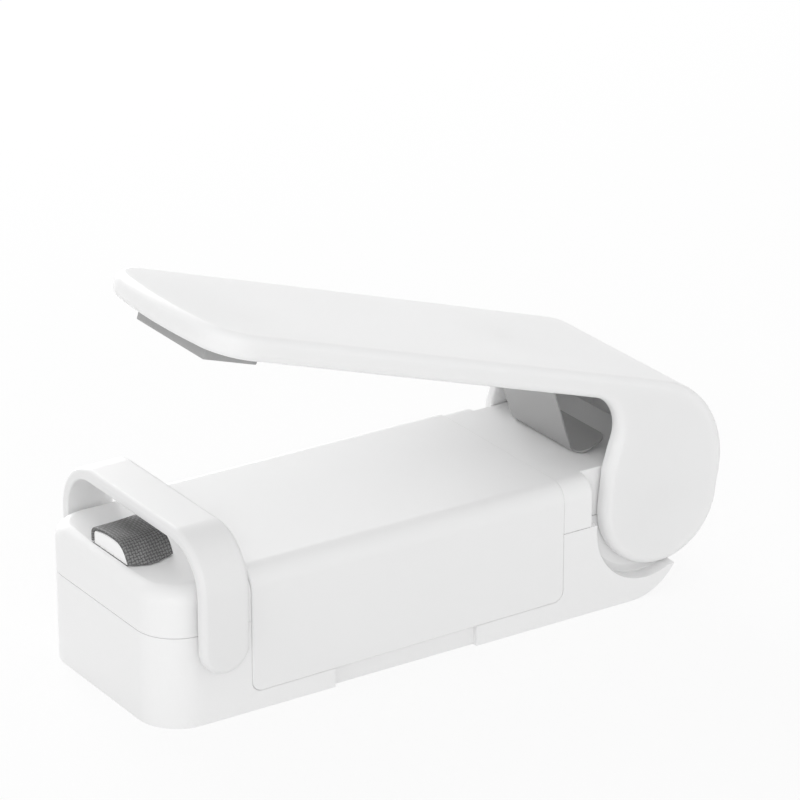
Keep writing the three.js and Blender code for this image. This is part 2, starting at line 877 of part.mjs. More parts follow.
function crownOutline(offset, low) {
  const archHeight = heaterTop - crownRadius;
  const corner = (sign, radius) => {
    const side = sign * (heaterWidth / 2) - heaterShift;
    const y = side - sign * radius;
    const z = archHeight + Math.sqrt((crownRadius - radius) ** 2 - (y + crownShift) ** 2);
    return { side, y, z, turn: Math.atan2(z - archHeight, y + crownShift) };
  };
  const far = corner(1, heaterFarRadius);
  const near = corner(-1, heaterNearRadius);
  const arch = arcPoints(-crownShift, archHeight, crownRadius + offset, far.turn, near.turn, filletSteps);
  return [
    new THREE.Vector2(far.side + offset, low),
    ...arcPoints(far.y, far.z, heaterFarRadius + offset, 0, far.turn, filletSteps),
    ...arch.slice(1, -1),
    ...arcPoints(near.y, near.z, heaterNearRadius + offset, near.turn, Math.PI, filletSteps),
    new THREE.Vector2(near.side - offset, low),
  ];
}

function heaterCarrier() {
  const low = frontCapHeight - shellWall - fitGap - heaterFlangeThickness;
  const crown = prismYZ(shapeOf(crownOutline(0, low)), heaterFront, heaterRear);
  const wide = heaterWidth / 2 + heaterFlange;
  const near = -wide - heaterShift;
  const far = wide - heaterShift;
  const high = low + heaterFlangeThickness;
  const front = block(heaterFront, heaterFront + heaterFlangeLength, near, far, low, high);
  const rear = block(heaterRear - heaterFlangeLength, heaterRear, near, far, low, high);
  return joined(crown, front, rear);
}

function heatingRibbon() {
  const middle = heaterFront + heaterLength / 2;
  const line = crownOutline(layerGap + ribbonThickness / 2, heaterTop - ribbonTail);
  return prismYZ(
    stripOutline(line, ribbonThickness),
    middle - ribbonWidth / 2,
    middle + ribbonWidth / 2,
  );
}

function heaterCloth() {
  const offset = 2 * layerGap + ribbonThickness + clothThickness / 2;
  const hem = frontCapHeight + fitGap + clothThickness / 2;
  const crown = crownOutline(offset, hem).filter((p) => p.y > hem + clothThickness);
  const nearFoot = crown[crown.length - 1];
  const line = [
    new THREE.Vector2(crown[0].x, hem),
    ...crown,
    new THREE.Vector2(nearFoot.x - 2 * clothThickness, hem),
    new THREE.Vector2(nearFoot.x - 2 * clothThickness - clothSkirt, hem),
  ];
  return prismYZ(stripOutline(line, clothThickness), heaterFront + seam, heaterRear - seam);
}

// Safety loop with its pins and washers, upright over the heater

function loopSection(inset) {
  const side = loopInnerHalf + loopWall - inset;
  const radius = loopCornerRadius - inset;
  return roundedRect(-side, -overrun - inset, side, loopTop - inset, [0, 0, radius, radius]);
}

function loopSolid() {
  const endRadius = loopWidth / 2;
  const x0 = loopX - endRadius;
  const x1 = loopX + endRadius;
  const strap = prismYZ(loopSection(0), x0, x1)
    .subtract(prismYZ(loopSection(loopWall), x0 - overrun, x1 + overrun));
  const reach = loopInnerHalf + loopWall + overrun;
  const side = shapeOf([
    ...arcPoints(loopX, loopPivotHeight, endRadius, Math.PI, 2 * Math.PI),
    [x1, loopTop + overrun],
    [x0, loopTop + overrun],
  ]);
  const seatEnd = loopInnerHalf + loopPinSeat + turnGap;
  const seat = discY(loopPinRadius + turnGap, -seatEnd, seatEnd, loopX, loopPivotHeight);
  return strap.intersect(prismXZ(side, -reach, reach)).subtract(seat);
}

function loopPin(sign) {
  const outer = loopInnerHalf + loopPinSeat;
  const inner = bodyHalf - loopPinReach;
  return discY(
    loopPinRadius,
    Math.min(sign * inner, sign * outer),
    Math.max(sign * inner, sign * outer),
    loopX,
    loopPivotHeight,
  );
}

function loopWasher(sign) {
  const inner = bodyHalf + turnGap;
  const outer = loopInnerHalf - turnGap;
  const y0 = Math.min(sign * inner, sign * outer);
  const y1 = Math.max(sign * inner, sign * outer);
  return discY(washerRadius, y0, y1, loopX, loopPivotHeight)
    .subtract(discY(loopPinRadius + turnGap, y0 - overrun, y1 + overrun, loopX, loopPivotHeight));
}

// Cells lie side by side with opposite ends forward

const frontPlateX = bayFront + seam;
const rearPlateX = bayRear - seam - plateThickness;
const cellStart = frontPlateX + plateThickness + seam;
const cellEnd = rearPlateX - seam;

function cell(sign) {
  const profile = [
    new THREE.Vector2(0, 0),
    new THREE.Vector2(cellRadius, 0),
    new THREE.Vector2(cellRadius, cellLength),
    new THREE.Vector2(nubRadius, cellLength),
    new THREE.Vector2(nubRadius, cellLength + nubLength),
    new THREE.Vector2(0, cellLength + nubLength),
  ];
  const geometry = new THREE.LatheGeometry(profile, cellSides);
  geometry.rotateZ(sign > 0 ? -quarter : quarter);
  const start = sign > 0 ? cellEnd - cellLength - nubLength : cellStart + cellLength + nubLength;
  geometry.translate(start, sign * cellHalfSpacing, cellHeight);
  return solidOf(geometry);
}

function cellSpring(sign) {
  const room = cellEnd - cellStart - cellLength - nubLength - 2 * seam - springWire;
  const wide = sign > 0 ? cellStart : cellEnd;
  const points = [];
  for (let i = 0; i <= springSteps * springTurns; i += 1) {
    const share = i / (springSteps * springTurns);
    const radius = springWideRadius + (springNarrowRadius - springWideRadius) * share;
    const angle = share * springTurns * 2 * Math.PI;
    const x = wide + sign * (springWire / 2 + room * share);
    const y = sign * cellHalfSpacing + radius * Math.cos(angle);
    points.push(new THREE.Vector3(x, y, cellHeight + radius * Math.sin(angle)));
  }
  return wire(points, springWire / 2, springSides, springSteps * springTurns);
}

function plate(x, y0, y1) {
  const low = cellHeight - cellRadius + plateInset / 2;
  return block(x, x + plateThickness, y0, y1, low, low + plateHeight);
}

function contactBridge() {
  const half = bayInnerHalf - plateInset;
  const tab = wireNotchHeight + plateInset;
  const gapCut = block(
    frontPlateX - overrun,
    frontPlateX + overrun,
    -wireNotchWidth / 2,
    wireNotchWidth / 2,
    0,
    bayFloor + tab,
  );
  return plate(frontPlateX, -half, half).subtract(gapCut);
}

function contactPlateNear() {
  const low = leadHeight - plateInset;
  const tail = block(
    rearPlateX,
    rearPlateX + plateThickness,
    -leadHalfSpacing * 2 - 2 * leadRadius,
    -plateInset * 2,
    low,
    cellHeight,
  );
  return plate(rearPlateX, -bayInnerHalf + plateInset, -plateInset * 2).add(tail);
}

const tabNear = wireNotchWidth / 2 + plateInset / 2;
const tabFar = wireNotchWidth - plateInset;
const tabEnd = coverRear + fitGap + plateInset;

function contactPlateFar() {
  const low = leadHeight - plateThickness;
  const drop = block(rearPlateX, rearPlateX + plateThickness, tabNear, tabFar, low, cellHeight);
  const tab = block(rearPlateX, tabEnd, tabNear, tabFar, low, low + plateThickness);
  return joined(plate(rearPlateX, tabNear, bayInnerHalf - plateInset), drop, tab);
}

// Switch: the button pushes the blade onto the contact

const bladeLow = buttonTip - fitGap - bladeThickness;
const contactTop = bladeLow - contactGap;
const switchRear = switchFront + switchBaseLength;

function switchBase() {
  const half = switchBaseWidth / 2;
  const low = shellWall + fitGap;
  const shelf = contactTop - contactThickness - fitGap;
  const riser = bladeLow - fitGap;
  return joined(
    block(switchFront, switchRear, -half, half, low, shelf),
    block(switchFront, switchFront + switchRiser, -half, half, low, riser),
  );
}

function switchBlade() {
  const half = bladeWidth / 2;
  const rear = switchRear - plateInset;
  return block(switchFront - bladeLug, rear, -half, half, bladeLow, bladeLow + bladeThickness);
}

function switchContact() {
  const half = bladeWidth / 2;
  const x0 = switchFront + switchRiser + plateInset;
  const low = contactTop - contactThickness;
  const strip = block(x0, switchRear, -half, half, low, contactTop);
  const lug = block(
    switchRear - contactLug,
    switchRear,
    0,
    switchBaseWidth / 2 + contactLug,
    low,
    contactTop,
  );
  return joined(strip, lug);
}

function switchButton() {
  const under = rearCapHeight - shellWall - turnGap;
  return joined(
    discZ(buttonRadius, under - buttonFlangeThickness, rearCapHeight + buttonProud, 0, 0),
    discZ(buttonRadius + buttonFlange, under - buttonFlangeThickness, under, 0, 0),
    discZ(buttonStem, buttonTip, under, 0, 0),
  ).translate([buttonX, 0, 0]);
}

// Leads from the heater to the cells and the switch

const ribbonLow = heaterTop - ribbonTail;
const ribbonX = heaterFront + heaterLength / 2;
const ribbonHalf = heaterWidth / 2 + layerGap + ribbonThickness / 2;

function point(x, y, z) {
  return new THREE.Vector3(x, y, z);
}

function leadHead(sign) {
  const top = ribbonLow - fitGap;
  const y = sign * ribbonHalf - heaterShift;
  return [
    point(ribbonX, y, top),
    point(ribbonX, y, top - 2 * leadRadius),
    point(ribbonX, y, (top + leadHeight) / 2),
    point(ribbonX + leadRadius, (y + sign * leadHalfSpacing) / 2, leadHeight + 2 * leadRadius),
    point(coverFront - leadBend, sign * leadHalfSpacing, leadHeight),
    point(coverFront + leadBend, sign * leadHalfSpacing, leadHeight),
    point((coverFront + coverRear) / 2, sign * leadHalfSpacing, leadHeight),
  ];
}

function leadToCells() {
  const end = rearPlateX - fitGap;
  const y = -leadHalfSpacing - 2 * leadRadius;
  return wire(
    [
      ...leadHead(-1),
      point(end - 4 * leadBend, -leadHalfSpacing, leadHeight),
      point(end - leadBend, y, leadHeight),
      point(end, y, leadHeight),
    ],
    leadRadius,
    leadSides,
    leadSteps,
  );
}

function leadToSwitch() {
  const x = switchFront - bladeLug / 2 - leadRadius / 2;
  return wire(
    [
      ...leadHead(1),
      point(coverRear - leadBend, leadHalfSpacing, leadHeight),
      point(x - leadRadius / 2, leadHalfSpacing, leadHeight + 2 * leadRadius),
      point(x, leadHalfSpacing, bladeLow - leadBend),
      point(x, leadHalfSpacing, bladeLow - fitGap),
    ],
    leadRadius,
    leadSides,
    leadSteps,
  );
}

function leadFromCells() {
  const y = (tabNear + tabFar) / 2;
  const lugX = switchRear - contactLug / 2;
  const lugY = switchBaseWidth / 2 + contactLug / 2 + leadRadius / 2;
  const end = contactTop - contactThickness - fitGap;
  return wire(
    [
      point(tabEnd + fitGap, y, leadHeight),
      point(tabEnd + leadBend, y + leadRadius, leadHeight),
      point(switchFront + leadRadius, lugY, leadHeight),
      point(lugX - leadBend, lugY, leadHeight),
      point(lugX, lugY, leadHeight + leadBend),
      point(lugX, lugY, end),
    ],
    leadRadius,
    leadSides,
    leadSteps,
  );
}

// Case screws, driven up from the base

function caseScrew(x, y) {
  const seat = screwSeat - turnGap;
  return discZ(screwHeadRadius, seat - screwHeadHeight, seat, x, y)
    .add(discZ(screwShankRadius, seat - screwHeadHeight / 2, seat + screwLength - fitGap, x, y));
}

// The assembly

addPiece(body, 'lower_shell', lowerShell(), finishes.shell);
addPiece(body, 'front_cap', frontCap(), finishes.shell);
addPiece(body, 'rear_cap', rearCap(), finishes.shell);
addPiece(body, 'battery_cover', batteryCover(), finishes.cover);
addPiece(body, 'heater_carrier', heaterCarrier(), finishes.carrier);
addPiece(body, 'heating_ribbon', heatingRibbon(), finishes.steel);
addPiece(body, 'heater_cloth', heaterCloth(), finishes.cloth);
const axleHalf = armInnerHalf + earSeat;
const axle = discY(axleRadius, -axleHalf, axleHalf, hingeX, hingeHeight);
addPiece(body, 'hinge_axle', axle, finishes.steel);
for (const [side, sign] of [['near', -1], ['far', 1]]) {
  addPiece(body, `cell_${side}`, cell(sign), finishes.cell);
  addPiece(body, `cell_spring_${side}`, cellSpring(sign), finishes.steel);
  addPiece(safetyLoop, `loop_pin_${side}`, loopPin(sign), finishes.steel);
  addPiece(body, `loop_washer_${side}`, loopWasher(sign), finishes.loop);
}
addPiece(body, 'contact_bridge', contactBridge(), finishes.brass);
addPiece(body, 'contact_plate_near', contactPlateNear(), finishes.brass);
addPiece(body, 'contact_plate_far', contactPlateFar(), finishes.brass);
addPiece(body, 'switch_base', switchBase(), finishes.dark);
addPiece(body, 'switch_blade', switchBlade(), finishes.brass);
addPiece(body, 'switch_contact', switchContact(), finishes.brass);
addPiece(body, 'switch_button', switchButton(), finishes.carrier);
addPiece(body, 'lead_to_cells', leadToCells(), finishes.dark);
addPiece(body, 'lead_to_switch', leadToSwitch(), finishes.red);
addPiece(body, 'lead_from_cells', leadFromCells(), finishes.red);
for (const [place, x, y] of screwPlaces) {
  addPiece(body, `case_screw_${place}`, caseScrew(x, y), finishes.steel);
}
addPiece(safetyLoop, 'safety_loop', loopSolid(), finishes.loop);
addPiece(arm, 'arm_shell', armShell(), finishes.arm);
addPiece(arm, 'sealing_pad', sealingPad(), finishes.pad);
addPiece(arm, 'return_leaf', returnLeaf(), finishes.leaf);
addPiece(arm, 'leaf_screw', leafScrew(), finishes.steel);
arm.rotation.y = armRise;
arm.position.set(hingeX, 0, hingeHeight);

// The origin is under the middle of the whole outline, on the surface that the base rests on

const backReach = Math.hypot(backOffset, backHeight);
const backAngle = Math.atan2(backHeight, backOffset) - armRise;
const rearmost = hingeX + backReach * Math.cos(backAngle) + backRadius;
root.position.x = -rearmost / 2;

export default root;
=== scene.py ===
"""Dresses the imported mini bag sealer: smooth shells, woven heater cloth, pad, leaf and inner parts.

Sizes are millimetres in the body's own frame: X from the front face to the hinge end, Y across
with the near side negative, Z up from the base. `Workbench` turns them into the row frame.
"""

import logging
import math
from collections.abc import Callable, Mapping, Sequence
from dataclasses import dataclass, field
from enum import Enum
from functools import partial
from typing import ClassVar

import bmesh
import bpy
from mathutils import Matrix, Vector

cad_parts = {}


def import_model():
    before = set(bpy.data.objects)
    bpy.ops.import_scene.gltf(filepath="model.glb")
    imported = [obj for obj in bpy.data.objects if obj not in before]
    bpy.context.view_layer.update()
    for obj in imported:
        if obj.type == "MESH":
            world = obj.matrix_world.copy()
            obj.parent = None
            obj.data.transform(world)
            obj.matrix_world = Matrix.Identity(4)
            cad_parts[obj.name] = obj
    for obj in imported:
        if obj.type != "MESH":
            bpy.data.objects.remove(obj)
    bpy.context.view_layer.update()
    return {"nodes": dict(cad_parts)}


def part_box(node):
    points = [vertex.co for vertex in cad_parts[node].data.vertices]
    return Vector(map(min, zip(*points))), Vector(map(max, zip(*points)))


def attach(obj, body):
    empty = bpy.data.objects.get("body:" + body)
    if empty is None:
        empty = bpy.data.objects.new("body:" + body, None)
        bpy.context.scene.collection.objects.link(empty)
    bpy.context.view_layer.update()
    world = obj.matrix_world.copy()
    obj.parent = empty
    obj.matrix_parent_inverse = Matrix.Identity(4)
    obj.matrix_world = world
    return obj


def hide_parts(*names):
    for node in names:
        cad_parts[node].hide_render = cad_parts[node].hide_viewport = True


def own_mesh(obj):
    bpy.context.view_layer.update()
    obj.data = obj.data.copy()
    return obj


LOG = logging.getLogger("bag_sealer")

Point2 = tuple[float, float]
Point3 = tuple[float, float, float]
Outline = list[Point2]
Colour = tuple[float, float, float]
Share = Callable[[Vector, Vector], float]
Item = bpy.types.Object
Mesh = bpy.types.Mesh
Material = bpy.types.Material
Tree = bpy.types.NodeTree
Node = bpy.types.Node
Socket = bpy.types.NodeSocket
Inputs = Mapping[str | int, object]

QUARTER = math.pi / 2
WHITE = (1.0, 1.0, 1.0, 1.0)
MM = 0.001  # metres in a millimetre
WELD = 1e-5  # points of an outline closer than this are one
SLIVER = 2e-4  # edges shorter than this go before a rounding
NEAR_ENOUGH = 0.01  # how near to a face counts as on it
OVERRUN = 6.0  # how far a cutter goes past what it cuts
PAST_SIDES = 24.0  # distance off the middle that is past every side


class Plane(Enum):
    """Plane that an outline is drawn in."""

    XY = "top view"
    XZ = "side view"
    YZ = "end view"


class Cut(Enum):
    """How one shape acts on another."""

    REMOVE = "DIFFERENCE"
    ADD = "UNION"
    KEEP_COMMON = "INTERSECT"


class Side(Enum):
    """Side of the body, with the sign of its Y."""

    NEAR = -1
    FAR = 1

    def span(self, inner: float) -> tuple[float, float]:
        """Low and high Y from a distance off the middle to past this side."""
        low, high = sorted((self.value * inner, self.value * PAST_SIDES))
        return low, high


# Outlines


def arc(cx: float, cy: float, radius: float, start: float, end: float, steps: int = 24) -> Outline:
    """Points along an arc.

    Args:
        cx: First coordinate of the centre.
        cy: Second coordinate of the centre.
        radius: Radius.
        start: First angle, in radians.
        end: Last angle, in radians.
        steps: How many chords the arc has.

    Returns:
        The points, both ends included.
    """
    turns = [start + (end - start) * i / steps for i in range(steps + 1)]
    return [(cx + radius * math.cos(t), cy + radius * math.sin(t)) for t in turns]


def rounded(x0: float, y0: float, x1: float, y1: float, radii: Sequence[float], steps: int = 12) -> Outline:
    """A rectangle with its own radius at each corner.

    Args:
        x0: Low first coordinate.
        y0: Low second coordinate.
        x1: High first coordinate.
        y1: High second coordinate.
        radii: Corner radii, counter-clockwise from the low corner.
        steps: Chords in each corner.

    Returns:
        The closed outline, counter-clockwise.
    """
    corners = (
        (x0, y0, 1, 1, math.pi),
        (x1, y0, -1, 1, -QUARTER),
        (x1, y1, -1, -1, 0.0),
        (x0, y1, 1, -1, QUARTER),
    )
    points: Outline = []
    for (x, y, dx, dy, turn), radius in zip(corners, radii):
        if radius <= 0:
            points.append((x, y))
        else:
            points += arc(x + dx * radius, y + dy * radius, radius, turn, turn + QUARTER, steps)
    return points


def strip(line: Sequence[Point2], thickness: float) -> Outline:
    """Outline of a strip of even thickness along a centre line.

    Args:
        line: Points of the centre line.
        thickness: Thickness of the strip.

    Returns:
        The closed outline.
    """
    left: Outline = []
    right: Outline = []
    for i, (x, y) in enumerate(line):
        ax, ay = line[max(i - 1, 0)]
        bx, by = line[min(i + 1, len(line) - 1)]
        length = math.hypot(bx - ax, by - ay) or 1.0
        nx, ny = -(by - ay) / length, (bx - ax) / length
        left.append((x + nx * thickness / 2, y + ny * thickness / 2))
        right.append((x - nx * thickness / 2, y - ny * thickness / 2))
    return right + left[::-1]


def grid_faces(rows: int, columns: int) -> list[list[int]]:
    """Four-cornered faces between the points of a grid, row after row."""
    starts = [r * columns + i for r in range(rows - 1) for i in range(columns - 1)]
    return [[a, a + 1, a + columns + 1, a + columns] for a in starts]


# Solid modelling


def linked(name: str, data: bpy.types.ID) -> Item:
    """A new object of the scene with that data."""
    made = bpy.data.objects.new(name, data)
    bpy.context.scene.collection.objects.link(made)
    return made


def evaluated(item: Item) -> Mesh:
    """A plain mesh of the object after its modifiers."""
    graph = bpy.context.evaluated_depsgraph_get()
    return bpy.data.meshes.new_from_object(item.evaluated_get(graph))


def applied(mesh: Mesh, kind: str, **settings: object) -> Mesh:
    """The mesh after one modifier.

    Args:
        mesh: Mesh to change.
        kind: Kind of the modifier.
        settings: Its settings.

    Returns:
        The changed mesh.
    """
    holder = linked("holder", mesh)
    modifier = holder.modifiers.new("step", kind)
    for key, value in settings.items():
        setattr(modifier, key, value)
    result = evaluated(holder)
    bpy.data.objects.remove(holder)
    return result


class Solid:
    """A closed shape in millimetres that can be cut, joined and given rounded edges."""

    def __init__(self, mesh: Mesh) -> None:
        """Keeps the mesh as the shape."""
        self.mesh = mesh

    @classmethod
    def from_faces(cls, points: Sequence[Sequence[float]], faces: Sequence[Sequence[int]]) -> "Solid":
        """A shape from points and faces.

        Args:
            points: Corner positions.
            faces: Indices of each face's corners.

        Returns:
            The shape, with its faces turned outwards.
        """
        mesh = bpy.data.meshes.new("shape")
        mesh.from_pydata([tuple(p) for p in points], [], [tuple(f) for f in faces])
        work = bmesh.new()
        work.from_mesh(mesh)
        bmesh.ops.remove_doubles(work, verts=work.verts, dist=WELD)
        bmesh.ops.recalc_face_normals(work, faces=work.faces)
        work.to_mesh(mesh)
        work.free()
        return cls(mesh)

    @classmethod
    def prism(cls, outline: Outline, plane: Plane, low: float, high: float) -> "Solid":
        """A straight run of an outline.

        Args:
            outline: Closed outline.
            plane: Plane of the outline.
            low: Start of the run along the third axis.
            high: End of the run.

        Returns:
            The prism.
        """
        clean = [p for i, p in enumerate(outline) if math.dist(p, outline[i - 1]) > WELD]
        place = {
            Plane.XY: lambda a, b, t: (a, b, t),
            Plane.XZ: lambda a, b, t: (a, t, b),
            Plane.YZ: lambda a, b, t: (t, a, b),
        }[plane]
        count = len(clean)
        points = [place(a, b, low) for a, b in clean] + [place(a, b, high) for a, b in clean]
        faces: list[list[int]] = [list(range(count)), list(range(count, 2 * count))]
        faces += [[i, (i + 1) % count, count + (i + 1) % count, count + i] for i in range(count)]
        return cls.from_faces(points, faces)

    @classmethod
    def block(cls, low: Sequence[float], high: Sequence[float]) -> "Solid":
        """A box between two corners."""
        outline = [(low[0], low[1]), (high[0], low[1]), (high[0], high[1]), (low[0], high[1])]
        return cls.prism(outline, Plane.XY, low[2], high[2])

    @classmethod
    def disc(
        cls, centre: Point2, radius: float, plane: Plane, low: float, high: float, sides: int = 64
    ) -> "Solid":
        """A round bar along the axis that the plane faces."""
        return cls.prism(arc(*centre, radius, 0, 2 * math.pi, sides)[:-1], plane, low, high)

    def act(self, how: Cut, others: Sequence["Solid"]) -> "Solid":
        """This shape after each of the others has acted on it."""
        mesh = self.mesh
        for other in others:
            tool = linked("tool", other.mesh)
            mesh = applied(mesh, "BOOLEAN", object=tool, operation=how.value, solver="EXACT")
            bpy.data.objects.remove(tool)
        return Solid(mesh)

    def minus(self, *others: "Solid") -> "Solid":
        """This shape with the others cut away."""
        return self.act(Cut.REMOVE, others)

    def plus(self, *others: "Solid") -> "Solid":
        """This shape joined with the others."""
        return self.act(Cut.ADD, others)

    def within(self, *others: "Solid") -> "Solid":
        """What this shape has in common with each of the others."""
        return self.act(Cut.KEEP_COMMON, others)

    def moved(self, matrix: Matrix) -> "Solid":
        """This shape turned and shifted by a matrix."""
        copy = self.mesh.copy()
        copy.transform(matrix)
        return Solid(copy)

    def soften(
        self,
        width: float,
        share: Share | None = None,
        segments: int = 3,
        sharper_than: float = 32.0,
    ) -> "Solid":
        """Rounds the sharp edges.

        Args:
            width: Largest width of the rounding.
            share: Share of that width for an edge, from its middle and its direction.
            segments: Steps across the rounding.
            sharper_than: Smallest angle, in degrees, of an edge that is rounded.

        Returns:
            The rounded shape, shaded smooth with the large faces kept flat.
        """
        work = bmesh.new()
        work.from_mesh(self.mesh)
        bmesh.ops.remove_doubles(work, verts=work.verts, dist=SLIVER)
        bmesh.ops.dissolve_degenerate(work, edges=work.edges, dist=SLIVER)
        bmesh.ops.dissolve_limit(work, angle_limit=math.radians(0.2), verts=work.verts, edges=work.edges)
        weight = work.edges.layers.float.new("bevel_weight_edge")
        limit = math.radians(sharper_than)
        for edge in work.edges:
            if len(edge.link_faces) == 2 and edge.calc_face_angle(0.0) > limit:
                middle = (edge.verts[0].co + edge.verts[1].co) / 2
                along = (edge.verts[1].co - edge.verts[0].co).normalized()
                edge[weight] = share(middle, along) if share else 1.0
        mesh = bpy.data.meshes.new("soft")
        work.to_mesh(mesh)
        work.free()
        soft = applied(
            mesh,
            "BEVEL",
            limit_method="WEIGHT",
            width=width,
            segments=segments,
            use_clamp_overlap=False,
            miter_outer="MITER_SHARP",
            loop_slide=False,
        )
        return Solid(soft).shaded()

    def shaded(self, sharper_than: float = 44.0) -> "Solid":
        """Smooth shading that keeps large faces flat and real edges sharp.

        Args:
            sharper_than: Smallest angle, in degrees, of an edge that stays sharp.

        Returns:
            The shaded shape.
        """
        self.mesh.shade_smooth()
        self.mesh.set_sharp_from_angle(angle=math.radians(sharper_than))
        return Solid(applied(self.mesh, "WEIGHTED_NORMAL", mode="FACE_AREA", weight=60, keep_sharp=True))


@dataclass
class Workbench:
    """Turns shapes into pieces of the frame.

    Attributes:
        origin: X of the body's front face in the row frame, in metres.
    """

    origin: float

    def matrix(self) -> Matrix:
        """Millimetres of the body's frame to metres of the row frame."""
        return Matrix.Translation((self.origin, 0, 0)) @ Matrix.Scale(MM, 4)

    def piece(
        self,
        name: str,
        shape: Solid,
        finish: Material,
        body: str,
        slot: str,
        stands_for: Sequence[str] = (),
        before: Matrix | None = None,
    ) -> Item:
        """Places a shape as a named piece that rides on a body.

        Args:
            name: Name of the piece.
            shape: Its shape, in millimetres.
            finish: Its material.
            body: CAD body that carries it.
            slot: Material slot of the record. Not used.
            stands_for: CAD nodes that it replaces.
            before: Place of the shape's own frame in the body's frame.

        Returns:
            The new object.
        """
        mesh = shape.mesh.copy()
        mesh.name = name
        mesh.transform(self.matrix() @ (before or Matrix.Identity(4)))
        mesh.materials.clear()
        mesh.materials.append(finish)
        for polygon in mesh.polygons:
            polygon.material_index = 0
        return self.declare(linked(name, mesh), body, slot, stands_for)

    def declare(
        self, made: Item, body: str, slot: str, stands_for: Sequence[str]
    ) -> Item:
        """Sets the object on its body and hides the CAD nodes that it replaces."""
        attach(made, body)
        if stands_for:
            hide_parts(*stands_for)
        LOG.info("%s: %d faces on %s", made.name, len(made.data.polygons), body)
        return made


# Shader groups


class NodeSheet:
    """Small helper that lays out the nodes of a tree."""

    COLUMNS = 8
    SPACING = (200, -180)

    def __init__(self, tree: Tree) -> None:
        """Keeps the tree that nodes go into."""
        self.tree = tree

    def add(self, kind: str, inputs: Inputs | None = None, **settings: object) -> Node:
        """A new node.

        Args:
            kind: Kind of the node.
            inputs: What goes into its inputs, by their names or numbers.
            settings: Its settings.

        Returns:
            The node.
        """
        node = self.tree.nodes.new(kind)
        for key, value in settings.items():
            setattr(node, key, value)
        row, column = divmod(len(self.tree.nodes), self.COLUMNS)
        node.location = (self.SPACING[0] * column, self.SPACING[1] * row)
        self.feed(node, inputs or {})
        return node

    def feed(self, node: Node, inputs: Inputs) -> None:
        """Links sockets to the inputs of a node and sets the others to their values."""
        for key, value in inputs.items():
            if isinstance(value, Socket):
                self.tree.links.new(value, node.inputs[key])
            else:
                node.inputs[key].default_value = value

    def math(self, operation: str, *values: Socket | float) -> Socket:
        """The result of a math node fed by sockets or numbers."""
        return self.add("ShaderNodeMath", dict(enumerate(values)), operation=operation).outputs[0]

    def noise(self, vector: Socket, scale: Socket, detail: float) -> Socket:
        """Noise of that scale and detail."""
        inputs = {"Vector": vector, "Scale": scale, "Detail": detail}
        return self.add("ShaderNodeTexNoise", inputs).outputs[0]

    def blend(self, share: Socket, first: Socket, second: Socket, out: Node) -> None:
        """Sends a mix of two shaders to the output node."""
        mix = self.add("ShaderNodeMixShader", {0: share, 1: first, 2: second})
        self.feed(out, {"Surface": mix.outputs[0]})


class GroupSheet(NodeSheet):
    """The sheet of a new node group with named inputs and outputs."""

    def __init__(self, name: str, kind: str, given: Mapping[str, str], results: Mapping[str, str]) -> None:
        """Starts the group.

        Args:
            name: Name of the group.
            kind: Shader or Geometry.
            given: Kind of the socket of each named input.
            results: Kind of the socket of each named output.
        """
        super().__init__(bpy.data.node_groups.new(name, f"{kind}NodeTree"))
        for in_out, sockets in (("INPUT", given), ("OUTPUT", results)):
            for key, socket in sockets.items():
                kind_of = f"NodeSocket{socket}"
                self.tree.interface.new_socket(name=key, in_out=in_out, socket_type=kind_of)
        self.given = self.add("NodeGroupInput").outputs

    def end(self, results: Inputs) -> Tree:
        """Sends the results to the group's outputs and gives its tree."""
        self.add("NodeGroupOutput", results)
        return self.tree


def grain_group() -> Tree:
    """Fine mould grain with slow changes of tone and gloss."""
    given = {"Vector": "Vector", "Fine size": "Float", "Flow size": "Float"}
    results = dict.fromkeys(("Height", "Tone", "Gloss"), "Float")
    sheet = GroupSheet("mould_grain", "Shader", given, results)
    fine = sheet.noise(sheet.given["Vector"], sheet.given["Fine size"], 2.0)
    slow = sheet.noise(sheet.given["Vector"], sheet.given["Flow size"], 3.0)
    return sheet.end({"Height": fine, "Tone": slow, "Gloss": sheet.math("MULTIPLY", fine, slow)})


def weave_group() -> Tree:
    """Plain weave of two yarn directions that follow the piece's own UV map."""
    given = {"Vector": "Vector", "Yarns": "Float"}
    sheet = GroupSheet("plain_weave", "Shader", given, {"Height": "Float", "Yarn": "Float"})
    parts = sheet.add("ShaderNodeSeparateXYZ", {0: sheet.given["Vector"]})
    waves = []
    for axis in (0, 1):
        yarns = sheet.math("MULTIPLY", parts.outputs[axis], sheet.given["Yarns"])
        waves.append(sheet.math("SINE", sheet.math("MULTIPLY", yarns, math.pi)))
    side = sheet.math("GREATER_THAN", sheet.math("MULTIPLY", *waves), 0.0)
    first, second = (sheet.math("ABSOLUTE", wave) for wave in waves)
    mix = sheet.add("ShaderNodeMix", {"Factor": side, "A": first, "B": second}, data_type="FLOAT")
    return sheet.end({"Height": mix.outputs["Result"], "Yarn": side})


@dataclass
class EffectLibrary:
    """The shader groups that the finishes share."""

    grain: Tree = field(default_factory=grain_group)
    weave: Tree = field(default_factory=weave_group)


def grey(value: float) -> Colour:
    """An even grey."""
    return (value, value, value)


